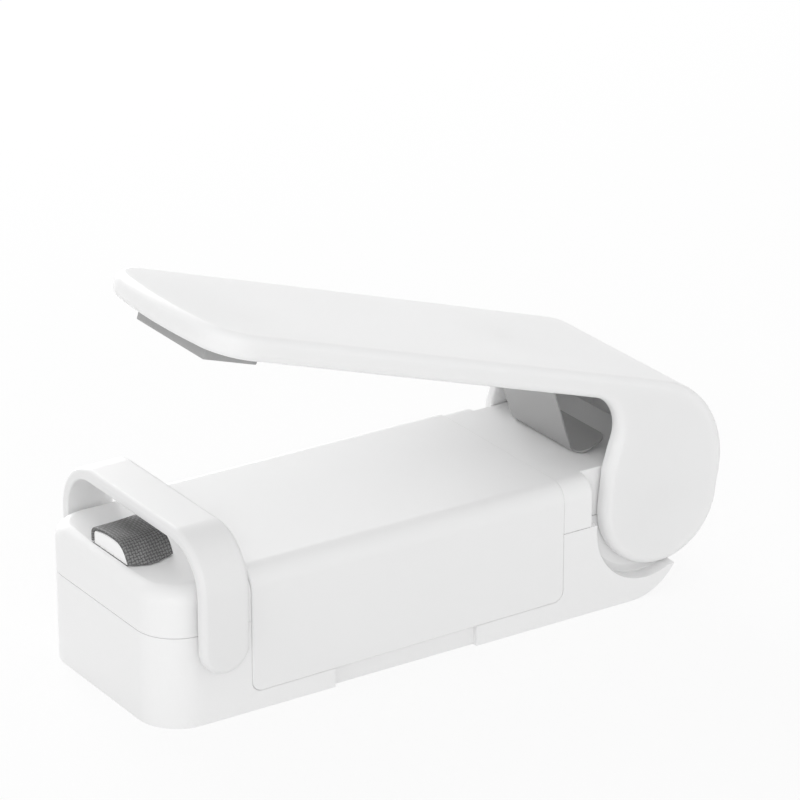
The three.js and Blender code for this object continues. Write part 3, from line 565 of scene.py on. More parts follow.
@dataclass(frozen=True)
class Finish:
    """What every finish has. The defaults are those of moulded plastic.

    Attributes:
        name: Name of the material.
        colour: Linear base colour.
        roughness: Middle roughness.
        gloss: Specular level.
        bloom: Share of a dusty bloom.
        glow_through: How far light passes through it, in metres.
        tones: Factors of the colour at both ends of the pattern.
        dulling: How much less and more than its middle the roughness gets.
        relief: Strength of the relief, and its depth in metres.
        fine_size: Scale of the relief.
        flow_size: Scale of the slow changes.
    """

    name: str
    colour: Colour
    roughness: float
    gloss: float = 0.4
    bloom: float = 0.0
    glow_through: float = 0.0
    tones: tuple[float, float] = (0.988, 1.012)
    dulling: tuple[float, float] = (0.07, 0.09)
    relief: tuple[float, float] = (0.35, 0.00002)
    fine_size: float = 4200.0
    flow_size: float = 38.0

    def pattern(self, sheet: NodeSheet, effects: EffectLibrary) -> tuple[Socket, Socket, Socket]:
        """Masks for the tone, the gloss and the height."""
        place = sheet.add("ShaderNodeTexCoord").outputs["Object"]
        inputs = {"Vector": place, "Fine size": self.fine_size, "Flow size": self.flow_size}
        made = sheet.add("ShaderNodeGroup", inputs, node_tree=effects.grain).outputs
        return made["Tone"], made["Gloss"], made["Height"]

    def build(self, effects: EffectLibrary) -> Material:
        """The material."""
        material = bpy.data.materials.new(self.name)
        material.use_nodes = True
        sheet = NodeSheet(material.node_tree)
        shader = material.node_tree.nodes["Principled BSDF"]
        constants = {
            "Base Color": (*self.colour, 1.0),
            "Roughness": self.roughness,
            "Specular IOR Level": self.gloss,
            "Sheen Weight": self.bloom,
        }
        if self.glow_through > 0:
            constants["Subsurface Weight"] = 1.0
            constants["Subsurface Radius"] = grey(1.0)
            constants["Subsurface Scale"] = self.glow_through
        sheet.feed(shader, constants)
        tone, gloss, height = self.pattern(sheet, effects)
        ends = [(*(min(c * factor, 1.0) for c in self.colour), 1.0) for factor in self.tones]
        inputs = {"Factor": tone, "A": ends[0], "B": ends[1]}
        colour = sheet.add("ShaderNodeMix", inputs, data_type="RGBA").outputs["Result"]
        low, high = self.roughness - self.dulling[0], self.roughness + self.dulling[1]
        rough = sheet.add("ShaderNodeMapRange", {"Value": gloss, "To Min": low, "To Max": high})
        inputs = {"Height": height, "Strength": self.relief[0], "Distance": self.relief[1]}
        bump = sheet.add("ShaderNodeBump", inputs).outputs["Normal"]
        sheet.feed(shader, {"Base Color": colour, "Roughness": rough.outputs["Result"], "Normal": bump})
        return material


@dataclass(frozen=True)
class SoftRubber(Finish):
    """Matt silicone with a dusty bloom."""

    gloss: float = 0.3
    bloom: float = 0.15
    tones: tuple[float, float] = (0.9, 1.12)
    dulling: tuple[float, float] = (0.1, 0.1)
    relief: tuple[float, float] = (0.5, 0.00003)
    fine_size: float = 2600.0
    flow_size: float = 160.0


@dataclass(frozen=True)
class CoatedCloth(Finish):
    """Coated woven glass cloth, its weave painted lighter on the yarns' crowns and darker in the gaps
    between them as painted highlight and painted shade, more strongly in random patches.

    Attributes:
        yarns: Yarns per centimetre of the piece's own UV map.
        soil_floor: What is added to the random patches that scale the weave's painted highlight and shade.
    """

    gloss: float = 0.5
    # The wide span of tones paints the weave's highlight and shade into the colour.
    tones: tuple[float, float] = (0.25, 2.6)
    dulling: tuple[float, float] = (0.08, 0.1)
    relief: tuple[float, float] = (0.7, 0.00006)
    fine_size: float = 1800.0
    flow_size: float = 420.0
    yarns: float = 19.0
    soil_floor: float = 0.35

    def pattern(self, sheet: NodeSheet, effects: EffectLibrary) -> tuple[Socket, Socket, Socket]:
        """Masks of the weave: its height, scaled by random patches, is the tone, so the colour holds
        painted highlight on the yarns' crowns and painted shade in the gaps between them.
        """
        place = sheet.add("ShaderNodeTexCoord").outputs["UV"]
        inputs = {"Vector": place, "Yarns": self.yarns}
        weave = sheet.add("ShaderNodeGroup", inputs, node_tree=effects.weave).outputs
        # Painted highlight and shade: the weave's height lightens the yarns' crowns and darkens the gaps
        # between them, more in some random patches.
        patches = sheet.math("ADD", super().pattern(sheet, effects)[0], self.soil_floor)
        return sheet.math("MULTIPLY", weave["Height"], patches), weave["Yarn"], weave["Height"]


class Finishes:
    """The finishes of the object: those built here, and the frame's own flat materials.

    Each is kept as an attribute.
    """

    BUILT = {
        "shell": Finish("white_shell", grey(0.89), 0.46),
        "cover": Finish("white_cover", grey(0.88), 0.5),
        "arm": Finish("white_arm", grey(0.89), 0.44, glow_through=0.0012),
        "loop": Finish("white_loop", grey(0.83), 0.42),
        "block": Finish("white_block", grey(0.97), 0.6),
        "pad": SoftRubber("grey_silicone", grey(0.4), 0.7),
        "cloth": CoatedCloth("dark_cloth", grey(0.1), 0.5),
        "dark": Finish("black_plastic", grey(0.03), 0.5),
    }
    FLAT = {
        "leaf": "leaf_steel",
        "steel": "plain_steel",
        "brass": "contact_brass",
        "sleeve": "cell_sleeve",
        "lead_black": "lead_black",
        "lead_red": "lead_red",
    }

    def __init__(self, effects: EffectLibrary) -> None:
        """Builds the materials and finds the frame's own."""
        for key, finish in self.BUILT.items():
            setattr(self, key, finish.build(effects))
        for key, name in self.FLAT.items():
            setattr(self, key, bpy.data.materials[name])
        LOG.info("%d finishes built, %d of the frame kept", len(self.BUILT), len(self.FLAT))


# Sub-assemblies


@dataclass(frozen=True)
class BodySizes:
    """Sizes that the shells share."""

    half: float = 18.0
    wall: float = 1.6
    gap: float = 0.05
    front_cap_top: float = 22.3
    rear_cap_top: float = 22.7
    cover_top: float = 22.9
    parting: float = 14.6
    seam: float = 0.015
    corner: float = 6.8
    side_fillet: float = 3.1
    front_fillet: float = 2.2
    cover_front: float = 15.5
    cover_rear: float = 71.6
    tail_x: float = 84.6
    tail_radius: float = 10.0
    hinge_x: float = 90.3
    hinge_z: float = 15.9
    hub: float = 7.7
    tongue: float = 14.6
    pocket_x: float = 87.6
    pocket_z: float = 13.2
    pocket_radius: float = 9.7
    pocket_fillet: float = 1.6
    loop_x: float = 9.6
    loop_z: float = 12.9
    hem_front: float = 3.0
    hem_rear: float = 3.5
    hem_corner: float = 1.8
    finger_front: float = 30.0
    finger_rear: float = 55.5
    finger_depth: float = 0.9
    finger_top: float = 8.0
    ear_swing: float = 11.5
    ear_offset: float = 0.6
    bay_half: float = 16.3
    bay_inner: float = 14.9
    bay_floor: float = 3.4
    bay_wall: float = 1.2
    tongue_wall: float = 3.0
    tongue_floor: float = 9.8
    axle_hole: float = 1.65
    pin_hole: float = 1.35
    pin_depth: float = 14.0
    lead_half: float = 2.1
    lead_far: float = 4.2
    lead_top: float = 5.8
    lead_front: float = 9.5
    lead_margin: float = 1.4
    lead_reach: float = 5.0
    boss_radius: float = 2.6
    boss_low: float = 0.8
    shank_hole: float = 1.05
    head_hole: float = 2.15
    head_depth: float = 3.0
    slot_low: Point3 = (1.94, -5.56, 18.0)
    slot_high: Point3 = (9.56, 4.46, 28.0)
    button_x: float = 82.8
    button_hole: float = 1.65
    screws: tuple[Point2, ...] = ((5.2, -11.6), (5.2, 11.6), (75.3, -9.2), (75.3, 9.2))

    def hem_outline(self, gap: float) -> Outline:
        """Side outline of the battery cover.

        Args:
            gap: How much larger the outline is than the cover.

        Returns:
            The closed outline, running past the top.
        """
        r = self.hem_corner
        front, rear = self.cover_front - gap, self.cover_rear + gap
        side = arc(front + r, self.hem_front - gap + r, r, math.pi, math.pi + QUARTER, 12)
        side += arc(rear - r, self.hem_rear - gap + r, r, -QUARTER, 0, 12)
        return side + [(rear, self.cover_top + OVERRUN), (front, self.cover_top + OVERRUN)]


@dataclass
class Assembly:
    """What every sub-assembly works with."""

    bench: Workbench
    finishes: Finishes
    sizes: BodySizes = BodySizes()


@dataclass
class BodyShells(Assembly):
    """Lower shell and the two caps."""

    rim_edge: float = 1.0
    screw_clear: float = 3.0
    hub_clear: float = 2.0
    lap: float = 1.0
    rim_low: float = 0.4
    rim_high: float = 1.3
    least_fillet: float = 0.4
    inner_edge: float = 0.1
    head_edge: float = 0.15
    cap_edge: float = 0.15
    rear_edge: float = 0.2

    def plan(self, inset: float = 0.0) -> Outline:
        """The body seen from above, with its front corners rounded."""
        s = self.sizes
        half = s.half - inset
        corner = s.corner - inset
        return rounded(inset, -half, s.hinge_x + s.hub, half, (corner, 0, 0, corner), 24)

    def pockets(self, top: float) -> list[Solid]:
        """Cutters for the hollows beside the tongue that the arm's ears sit in."""
        s = self.sizes
        far = s.half + OVERRUN
        end = s.hinge_x + s.hub + OVERRUN
        outline = [(s.pocket_x - s.pocket_radius, top)]
        outline += arc(s.pocket_x, s.pocket_z, s.pocket_radius, math.pi, 2 * math.pi, 40)
        outline += [(end, s.pocket_z), (end, top)]
        swing = (s.hinge_x + s.ear_offset, s.hinge_z)
        cutters: list[Solid] = []
        for low, high in ((s.tongue, far), (-far, -s.tongue)):
            cutter = Solid.prism(outline, Plane.XZ, low, high)
            cutter = cutter.plus(Solid.disc(swing, s.ear_swing, Plane.XZ, low, high, 96))
            on_wall = partial(self.beside, math.copysign(s.tongue, low))
            cutters.append(cutter.soften(s.pocket_fillet, on_wall, 5))
        return cutters

    @staticmethod
    def beside(wall: float, middle: Vector, along: Vector) -> float:
        """Whole share for an edge that lies on an upright wall."""
        return float(abs(middle.y - wall) < NEAR_ENOUGH)

    def hub_ring(self, radius: float, half: float) -> Solid:
        """A round bar about the hinge."""
        return Solid.disc((self.sizes.hinge_x, self.sizes.hinge_z), radius, Plane.XZ, -half, half, 96)

    def tub(self, top: float) -> Solid:
        """The lower shell's outer form with the battery bay's walls and the hub."""
        s = self.sizes
        side = [(0.0, 0.0)]
        side += arc(s.tail_x, s.tail_radius, s.tail_radius, -QUARTER, 0, 40)
        side += [(s.tail_x + s.tail_radius, top), (0.0, top)]
        shell = Solid.prism(side, Plane.XZ, -s.half, s.half)
        shell = shell.within(Solid.prism(self.plan(), Plane.XY, -self.lap, top + self.lap))
        shell = shell.minus(*self.pockets(top + OVERRUN))
        under = Solid.block((s.pocket_x, -s.tongue, 0), (s.hinge_x + 2 * s.hub, s.tongue, top))
        shell = shell.plus(self.hub_ring(s.hub, s.tongue).within(under))
        radii = (0, 0, s.bay_wall, s.bay_wall)
        bay = rounded(-s.bay_half, s.parting - s.wall, s.bay_half, s.cover_top - s.wall - s.gap, radii)
        return shell.plus(Solid.prism(bay, Plane.YZ, s.cover_front - s.gap, s.cover_rear + s.gap))

    def lower_shell(self) -> Solid:
        """Tub, battery bay and tongue in one moulding."""
        s = self.sizes
        top = s.parting - s.seam
        shell = self.tub(top)
        above = s.cover_top - s.wall - s.gap + OVERRUN
        front, rear = s.cover_front - s.gap, s.cover_rear + s.gap
        inner = s.half - s.wall
        corner = s.corner - s.wall
        room = rounded(s.wall, -inner, front, inner, (corner, 0, 0, corner), 24)
        cavity = s.tongue - s.tongue_wall
        bay = ((front + s.bay_wall, -s.bay_inner, s.bay_floor), (rear - s.bay_wall, s.bay_inner, above))
        shell = shell.minus(
            Solid.prism(room, Plane.XY, s.wall, above),
            Solid.block(*bay),
            Solid.block((rear, -cavity, s.wall), (s.tail_x, cavity, above)),
            Solid.block((s.tail_x - OVERRUN, -cavity, s.tongue_floor), (s.hinge_x, cavity, above)),
            self.hub_ring(s.hub - s.wall, cavity),
            self.hub_ring(s.axle_hole, s.tongue + OVERRUN),
        )
        for side_of in Side:
            a, b = side_of.span(s.bay_half)
            shell = shell.minus(Solid.prism(s.hem_outline(s.gap), Plane.XZ, a, b))
            a, b = side_of.span(s.half - s.finger_depth)
            low, high = (s.finger_front, a, -OVERRUN), (s.finger_rear, b, s.finger_top)
            shell = shell.minus(Solid.block(low, high))
            a, b = side_of.span(s.pin_depth)
            shell = shell.minus(Solid.disc((s.loop_x, s.loop_z), s.pin_hole, Plane.XZ, a, b))
        margin, reach, low = s.lead_margin, s.lead_reach, -s.lead_half
        shell = shell.minus(
            Solid.block((s.lead_front, low, s.bay_floor), (front + margin, s.lead_half, s.lead_top)),
            Solid.block((rear - margin, low, s.bay_floor), (rear + reach, s.lead_far, s.lead_top)),
        )
        for place in s.screws:
            shell = shell.plus(Solid.disc(place, s.boss_radius, Plane.XY, s.boss_low, top))
            shell = shell.minus(Solid.disc(place, s.shank_hole, Plane.XY, -OVERRUN, top + OVERRUN))
            shell = shell.minus(Solid.disc(place, s.head_hole, Plane.XY, -OVERRUN, s.head_depth))
        return shell.soften(self.rim_edge, self.shell_edge, segments=4)

    def shell_edge(self, middle: Vector, along: Vector) -> float:
        """Share of the lower shell's rounding at an edge: full on the base's front rim."""
        s = self.sizes
        if middle.x > s.hinge_x - self.hub_clear and middle.z < s.finger_top:
            return 0.0
        side = abs(middle.y)
        if middle.z < NEAR_ENOUGH and middle.x < s.cover_front and side < s.half + NEAR_ENOUGH:
            on_rim = middle.x < s.corner or side > s.half - NEAR_ENOUGH
            by_screw = math.dist((middle.x, side), s.screws[1]) <= self.screw_clear
            return 1.0 if on_rim and not by_screw else self.head_edge
        return self.inner_edge

    def cap_skin(self, inset: float) -> Solid:
        """The front cap's outer or inner form: its plan with a fillet that grows from front to side."""
        s = self.sizes
        rear = s.cover_front - s.gap + inset
        low = s.parting + s.seam - 3 * inset
        high = s.front_cap_top - inset
        half = s.half - inset
        radius = s.corner - inset
        steps, rises = 28, 12

        def fillet(turn: float) -> float:
            """Radius of the top's fillet where the wall has turned that far."""
            blend = (1 - math.cos(turn)) / 2
            wanted = s.side_fillet + (s.front_fillet - s.side_fillet) * blend
            return max(wanted - inset, self.least_fillet)

        walls = [(x, -half, 0.0, -1.0, fillet(0)) for x in (rear, (rear + s.corner) / 2)]
        for i in range(steps + 1):
            share = i / steps
            turn = math.pi + QUARTER * (1 - share)
            nx, ny = math.cos(turn), math.sin(turn)
            place = (s.corner + radius * nx, -s.half + s.corner + radius * ny)
            walls.append((*place, nx, ny, fillet(share * math.pi)))
        walls += [(x, -y, nx, -ny, r) for x, y, nx, ny, r in reversed(walls)]
        rows = [[(x, y, low) for x, y, _, _, _ in walls]]
        for k in range(rises + 1):
            turn = QUARTER * k / rises
            row = []
            for x, y, nx, ny, r in walls:
                back = r * (1 - math.cos(turn))
                row.append((x - nx * back, y - ny * back, high - r + r * math.sin(turn)))
            rows.append(row)
        count = len(walls)
        points = [p for row in rows for p in row]
        faces: list[list[int]] = [list(range(count))]
        faces += grid_faces(len(rows), count)
        last = (len(rows) - 1) * count
        faces.append(list(range(last, last + count)))
        starts = [r * count for r in range(len(rows))]
        faces.append(starts + [start + count - 1 for start in reversed(starts)])
        return Solid.from_faces(points, faces)

    def front_cap(self) -> Solid:
        """Upper half of the sealing end, with the heater slot."""
        s = self.sizes
        cap = self.cap_skin(0.0).minus(self.cap_skin(s.wall))
        cap = cap.minus(Solid.block(s.slot_low, s.slot_high))
        low, high = s.parting + self.rim_low, s.front_cap_top - self.rim_high
        return cap.soften(self.cap_edge, lambda middle, along: float(middle.z > high or middle.z < low))

    def rear_cap(self) -> Solid:
        """Upper half behind the cover, narrowing to the tongue."""
        s = self.sizes
        low = s.parting + s.seam
        front = s.cover_rear + s.gap
        shoulder_end = s.pocket_x - s.pocket_radius - self.lap
        cross = rounded(-s.half, low, s.half, s.rear_cap_top, (0, 0, s.side_fillet, s.side_fillet), 16)
        cap = Solid.prism(cross, Plane.YZ, front, shoulder_end)
        start = math.asin((low - s.hinge_z) / s.hub)
        reach = math.asin(min((s.rear_cap_top - s.hinge_z) / s.hub, 1.0))
        hub = arc(s.hinge_x, s.hinge_z, s.hub, start, reach, 40)
        lapped = shoulder_end - self.lap
        tongue = [(lapped, low), *hub, (lapped, s.rear_cap_top)]
        cap = cap.plus(Solid.prism(tongue, Plane.XZ, -s.tongue, s.tongue))
        cavity = s.tongue - s.tongue_wall
        roof = s.rear_cap_top - s.wall
        under = low - OVERRUN
        hub_room = Solid.block((s.hinge_x - OVERRUN, -cavity, under), (s.hinge_x + s.hub, cavity, roof))
        over = s.rear_cap_top + OVERRUN
        cap = cap.minus(
            Solid.block((front - OVERRUN, -cavity, under), (s.hinge_x, cavity, roof)),
            self.hub_ring(s.hub - s.wall, cavity).within(hub_room),
            self.hub_ring(s.axle_hole, s.tongue + OVERRUN),
            Solid.disc((s.button_x, 0.0), s.button_hole, Plane.XY, roof - OVERRUN, over),
        )
        return cap.soften(self.rear_edge)

    def build(self) -> None:
        """Makes the three shells."""
        for name, shape, node in (
            ("shell_lower", self.lower_shell(), "lower_shell"),
            ("shell_front_cap", self.front_cap(), "front_cap"),
            ("shell_rear_cap", self.rear_cap(), "rear_cap"),
        ):
            self.bench.piece(name, shape, self.finishes.shell, "base", "shell_plastic", [node])


@dataclass
class BatteryCover(Assembly):
    """Saddle cover over the cells, with nothing printed on it."""

    half: float = 18.2
    wall: float = 1.6
    fillet: float = 3.1
    edge: float = 0.3
    skirt: float = 2.0

    def shell(self) -> Solid:
        """The saddle."""
        s = self.sizes
        fillets = (0, 0, self.fillet, self.fillet)
        outer = rounded(-self.half, -self.skirt, self.half, s.cover_top, fillets, 20)
        inner = self.half - self.wall
        small = self.fillet - self.wall
        hollow = rounded(-inner, -OVERRUN, inner, s.cover_top - self.wall, (0, 0, small, small), 12)
        front, rear = s.cover_front, s.cover_rear
        shape = Solid.prism(outer, Plane.YZ, front, rear)
        shape = shape.within(Solid.prism(s.hem_outline(0.0), Plane.XZ, -PAST_SIDES, PAST_SIDES))
        shape = shape.minus(Solid.prism(hollow, Plane.YZ, front - OVERRUN, rear + OVERRUN))
        return shape.soften(self.edge, segments=3)

    def build(self) -> None:
        """Makes the cover."""
        finish = self.finishes.cover
        self.bench.piece("cover_saddle", self.shell(), finish, "cover", "cover_plastic", ["battery_cover"])


@dataclass(frozen=True)
class LeafSizes:
    """Sizes of the return leaf."""

    thickness: float = 0.35
    half: float = 8.0
    foot_half: float = 9.75
    foot_corner: float = 2.0
    tab: float = 7.4
    screw_setback: float = 3.7
    tab_setback: float = 1.7
    fold_setback: float = 8.6
    foot_setback: float = 14.0
    foot_lift: float = 2.0
    clearance: float = 0.15
    bend: float = 1.0
    screw_hole: float = 0.95
    edge: float = 0.05


@dataclass
class PressingArm(Assembly):
    """The arm with its pad and its leaf, in the arm's own frame: along it and up, from the hinge."""

    rise: float = math.radians(17.76)
    half: float = 17.4
    reach: float = 89.5
    underside: float = 14.78
    depth: float = 3.9
    side_wall: float = 2.4
    plate: float = 1.9
    ear_radius: float = 11.0
    ear_offset: float = 0.6
    ear_front: float = 11.4
    ear_front_height: float = 3.5
    leaf_sizes: LeafSizes = LeafSizes()
    back_radius: float = 15.1
    back_offset: float = -4.1
    throat: float = 5.9
    nose_corner: float = 7.0
    nose_bow: float = 68.0
    nose_margin: float = 1.2
    nose_chord: float = 0.6
    back_end: float = math.radians(-17)
    seat_setback: float = 3.5
    seat_length: float = 11.2
    seat_half: float = 10.4
    seat_low: float = 15.38
    seat_bite: float = 0.9
    axle_half: float = 16.3
    screw_depth: float = 1.35
    edge: float = 1.4
    inner_share: float = 0.2
    pad_front: float = -85.2
    pad_rear: float = -75.6
    pad_half: float = 9.6
    pad_drop: float = 2.3
    pad_height: float = 2.6
    pad_edge: float = 0.25
    leaf_gap: float = 0.3
    leaf_keep: float = 0.77
    below: float = 30.0
    above: float = 5.0
    far_below: float = 120.0
    past_ears: float = 10.0
    lap: float = 1.0

    def place(self) -> Matrix:
        """The arm's frame in the body's frame at rest."""
        s = self.sizes
        return Matrix.Translation((s.hinge_x, 0, s.hinge_z)) @ Matrix.Rotation(self.rise, 4, "Y")

    @property
    def top(self) -> float:
        """Height of the arm's top over the hinge."""
        return self.underside + self.depth

    @property
    def ceiling(self) -> float:
        """Height of the top plate's underside over the hinge."""
        return self.top - self.plate

    def touch(self) -> float:
        """Direction that the line touching both rear arcs faces."""
        du = self.back_offset - self.ear_offset
        dw = self.top - self.back_radius
        share = (self.ear_radius - self.back_radius) / math.hypot(du, dw)
        return math.atan2(dw, du) - math.acos(max(share, -1.0))

    def side(self) -> Outline:
        """The arm seen from the side."""
        du = -self.ear_front - self.ear_offset
        start = math.atan2(self.ear_front_height, du)
        start += math.acos(self.ear_radius / math.hypot(du, self.ear_front_height))
        turn = self.touch()
        outline = [(-self.reach - OVERRUN, self.underside)]
        centre = (-self.ear_front - self.throat, self.underside - self.throat)
        outline += arc(*centre, self.throat, QUARTER, 0, 20)
        outline.append((-self.ear_front, self.ear_front_height))
        outline += arc(self.ear_offset, 0, self.ear_radius, start, 2 * math.pi + turn, 72)
        outline += arc(self.back_offset, self.top - self.back_radius, self.back_radius, turn, QUARTER, 36)
        outline.append((-self.reach - OVERRUN, self.top))
        return outline

    def hollow(self) -> Outline:
        """The pocket under the top plate, open downwards."""
        turn = self.touch()
        inner = self.ear_radius - self.plate
        outer = self.ear_radius + OVERRUN
        outline = [(-self.reach, -self.reach), (outer, -self.reach)]
        outline.append((self.ear_offset + outer * math.cos(self.back_end), outer * math.sin(self.back_end)))
        outline += arc(self.ear_offset, 0, inner, self.back_end, turn, 24)
        middle = self.top - self.back_radius
        outline += arc(self.back_offset, middle, self.back_radius - self.plate, turn, QUARTER, 36)
        outline.append((-self.reach, self.ceiling))
        return outline

    def nose(self, inset: float) -> Outline:
        """The arm seen from above, with its bowed nose."""
        half = self.half - inset
        r = self.nose_corner - inset
        bow = self.nose_bow - inset
        front = -self.reach + inset
        far = self.ear_radius + self.past_ears
        back = math.sqrt((bow - r) ** 2 - (half - r) ** 2)
        turn = math.atan2(half - r, -back)
        outline = [(far, -half), (far, half)]
        outline += arc(front + bow - back, half - r, r, QUARTER, turn, 24)
        outline += arc(front + bow, 0, bow, turn, 2 * math.pi - turn, 24)[1:-1]
        outline += arc(front + bow - back, r - half, r, 2 * math.pi - turn, math.pi + QUARTER, 24)
        return outline

    def shell(self) -> Solid:
        """The arm's moulding."""
        outer = Solid.prism(self.side(), Plane.XZ, -self.half, self.half)
        outer = outer.within(Solid.prism(self.nose(0.0), Plane.XY, -self.below, self.top + self.above))
        inner = self.half - self.side_wall
        hollow = Solid.prism(self.hollow(), Plane.XZ, -inner, inner)
        room = Solid.prism(self.nose(self.side_wall), Plane.XY, -self.far_below, self.ceiling + self.lap)
        hollow = hollow.within(room)
        seat_front = -self.reach + self.seat_setback
        seat_top = self.ceiling + self.seat_bite
        seat = Solid.block(
            (seat_front, -self.seat_half, self.seat_low),
            (seat_front + self.seat_length, self.seat_half, seat_top),
        )
        shape = outer.minus(hollow).plus(seat)
        axle = self.sizes.axle_hole
        shape = shape.minus(Solid.disc((0.0, 0.0), axle, Plane.XZ, -self.axle_half, self.axle_half))
        shape = shape.minus(self.screw_room(self.ceiling - OVERRUN, self.ceiling + self.screw_depth))
        plan = self.nose(0.0)

        def share(middle: Vector, along: Vector) -> float:
            """Share of the rounding: full on the sides and round the nose."""
            if abs(middle.y) > self.half - NEAR_ENOUGH:
                return 1.0
            in_front = middle.x < -self.reach + self.nose_corner + self.nose_margin
            on_nose = in_front and min(math.dist(middle.xy, p) for p in plan) < self.nose_chord
            return 1.0 if on_nose else self.inner_share

        return shape.soften(self.edge, share, segments=5)

    def screw_room(self, low: float, high: float) -> Solid:
        """Hole for the shank of the leaf's screw."""
        return Solid.disc((self.tab_middle(), 0.0), self.leaf_sizes.screw_hole, Plane.XY, low, high)

    def pad(self) -> Solid:
        """The silicone bar with softened edges."""
        low = self.underside - self.pad_drop
        high = low + self.pad_height
        shape = Solid.block((self.pad_front, -self.pad_half, low), (self.pad_rear, self.pad_half, high))
        return shape.soften(self.pad_edge, segments=4)

    def tab_start(self) -> float:
        """Place along the arm where the leaf leaves the ceiling."""
        dx = self.sizes.cover_rear + self.leaf_sizes.tab_setback - self.sizes.hinge_x
        return dx * math.cos(self.rise) - self.ceiling * math.sin(self.rise)

    def tab_middle(self) -> float:
        """Place along the arm of the leaf's screw."""
        return self.tab_start() - self.leaf_sizes.screw_setback

    def local(self, x: float, z: float) -> Point2:
        """A point of the body in the arm's frame."""
        dx, dz = x - self.sizes.hinge_x, z - self.sizes.hinge_z
        cos, sin = math.cos(self.rise), math.sin(self.rise)
        return dx * cos - dz * sin, dx * sin + dz * cos

    def leaf(self) -> Solid:
        """The bent spring strip: a leg from the ceiling and a wider foot behind the fold."""
        size = self.leaf_sizes
        height = self.ceiling - self.leaf_gap - size.thickness / 2
        fold_z = self.sizes.rear_cap_top + size.clearance + (size.thickness / 2 - size.bend / 4)
        knee = (self.tab_start(), height)
        fold = self.local(self.sizes.cover_rear + size.fold_setback, fold_z)
        foot = self.local(self.sizes.cover_rear + size.foot_setback, fold_z + size.foot_lift)
        start = (knee[0] - size.tab, knee[1])
        folded = self.bend(knee, fold, foot, size.bend)
        leg_line = [start, *self.bend(start, knee, fold, size.bend), *folded, foot]
        foot_line = [*folded[len(folded) // 2:], foot]
        leg = Solid.prism(strip(leg_line, size.thickness), Plane.XZ, -size.half, size.half)
        wide = Solid.prism(strip(foot_line, size.thickness), Plane.XZ, -size.foot_half, size.foot_half)
        radii = (size.foot_corner,) * 4
        plan = rounded(size.bend / 4, -size.foot_half, math.dist(fold, foot), size.foot_half, radii)
        tilt = math.atan2(foot[1] - fold[1], foot[0] - fold[0])
        place = Matrix.Translation((fold[0], 0, fold[1])) @ Matrix.Rotation(-tilt, 4, "Y")
        wide = wide.within(Solid.prism(plan, Plane.XY, -size.bend, size.bend).moved(place))
        hole = self.screw_room(height - OVERRUN, height + OVERRUN)
        return leg.plus(wide).minus(hole).soften(size.edge, segments=2)

    @staticmethod
    def bend(before: Point2, corner: Point2, after: Point2, radius: float) -> Outline:
        """A curved corner between two straight runs.

        Args:
            before: Point that the first run comes from.
            corner: Sharp corner.
            after: Point that the second run goes to.
            radius: How far from the corner the curve starts and ends.

        Returns:
            Points of the curve.
        """

        def towards(target: Point2) -> Point2:
            """Point on the way from the corner to a target, one radius off."""
            length = math.dist(corner, target)
            x, y = (c + (t - c) * radius / length for c, t in zip(corner, target))
            return x, y

        a, b = towards(before), towards(after)
        curve: Outline = []
        for i in range(9):
            t = i / 8
            x, y = ((1 - t) ** 2 * p + 2 * t * (1 - t) * c + t**2 * q for p, c, q in zip(a, corner, b))
            curve.append((x, y))
        return curve

    def build(self) -> None:
        """Makes the arm's pieces."""
        place = self.place()
        f = self.finishes
        self.bench.piece("arm_moulding", self.shell(), f.arm, "arm", "arm_plastic", ["arm_shell"], place)
        self.bench.piece("arm_pad", self.pad(), f.pad, "arm", "pad_silicone", ["sealing_pad"], place)
        shape = self.leaf()
        leaf = self.bench.piece("arm_leaf", shape, f.leaf, "arm", "leaf_steel", ["return_leaf"], place)
        held = Vector((self.tab_start(), 0, self.ceiling - self.leaf_gap))
        anchor = self.bench.matrix() @ (place @ held)
        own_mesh(leaf)


@dataclass
class SafetyLoop(Assembly):
    """The strap that stands over the heater."""

    width: float = 8.1
    wall: float = 1.9
    top: float = 30.0
    inner_half: float = 19.2
    corner: float = 8.7
    pin_reach: float = 20.45
    skin: float = 0.15
    edge: float = 0.95
    inner_share: float = 0.4

    def strap(self) -> Solid:
        """The U-shaped strap with round ends."""
        s = self.sizes
        r = self.width / 2
        x0, x1 = s.loop_x - r, s.loop_x + r
        side = self.inner_half + self.wall
        outer = rounded(-side, -OVERRUN, side, self.top, (0, 0, self.corner, self.corner), 32)
        small = self.corner - self.wall
        under = self.top - self.wall
        radii = (0, 0, small, small)
        inner = rounded(-self.inner_half, -2 * OVERRUN, self.inner_half, under, radii, 32)
        shape = Solid.prism(outer, Plane.YZ, x0, x1)
        shape = shape.minus(Solid.prism(inner, Plane.YZ, x0 - OVERRUN, x1 + OVERRUN))
        ends = arc(s.loop_x, s.loop_z, r, math.pi, 2 * math.pi, 40)
        ends += [(x1, self.top + OVERRUN), (x0, self.top + OVERRUN)]
        shape = shape.within(Solid.prism(ends, Plane.XZ, -PAST_SIDES, PAST_SIDES))
        hole = Solid.disc((s.loop_x, s.loop_z), s.pin_hole, Plane.XZ, -self.pin_reach, self.pin_reach)
        shape = shape.minus(hole)

        def share(middle: Vector, along: Vector) -> float:
            """Share of the rounding: full on the outside."""
            y, z = abs(middle.y), middle.z
            outside = y > side - self.skin or z > self.top - self.skin
            centre = (side - self.corner, self.top - self.corner)
            if not outside and y > centre[0] and z > centre[1]:
                outside = math.dist((y, z), centre) > self.corner - self.skin
            return 1.0 if outside else self.inner_share

        return shape.soften(self.edge, share, segments=5)

    def build(self) -> None:
        """Makes the strap."""
        finish = self.finishes.loop
        self.bench.piece("loop_strap", self.strap(), finish, "loop", "loop_plastic", ["safety_loop"])


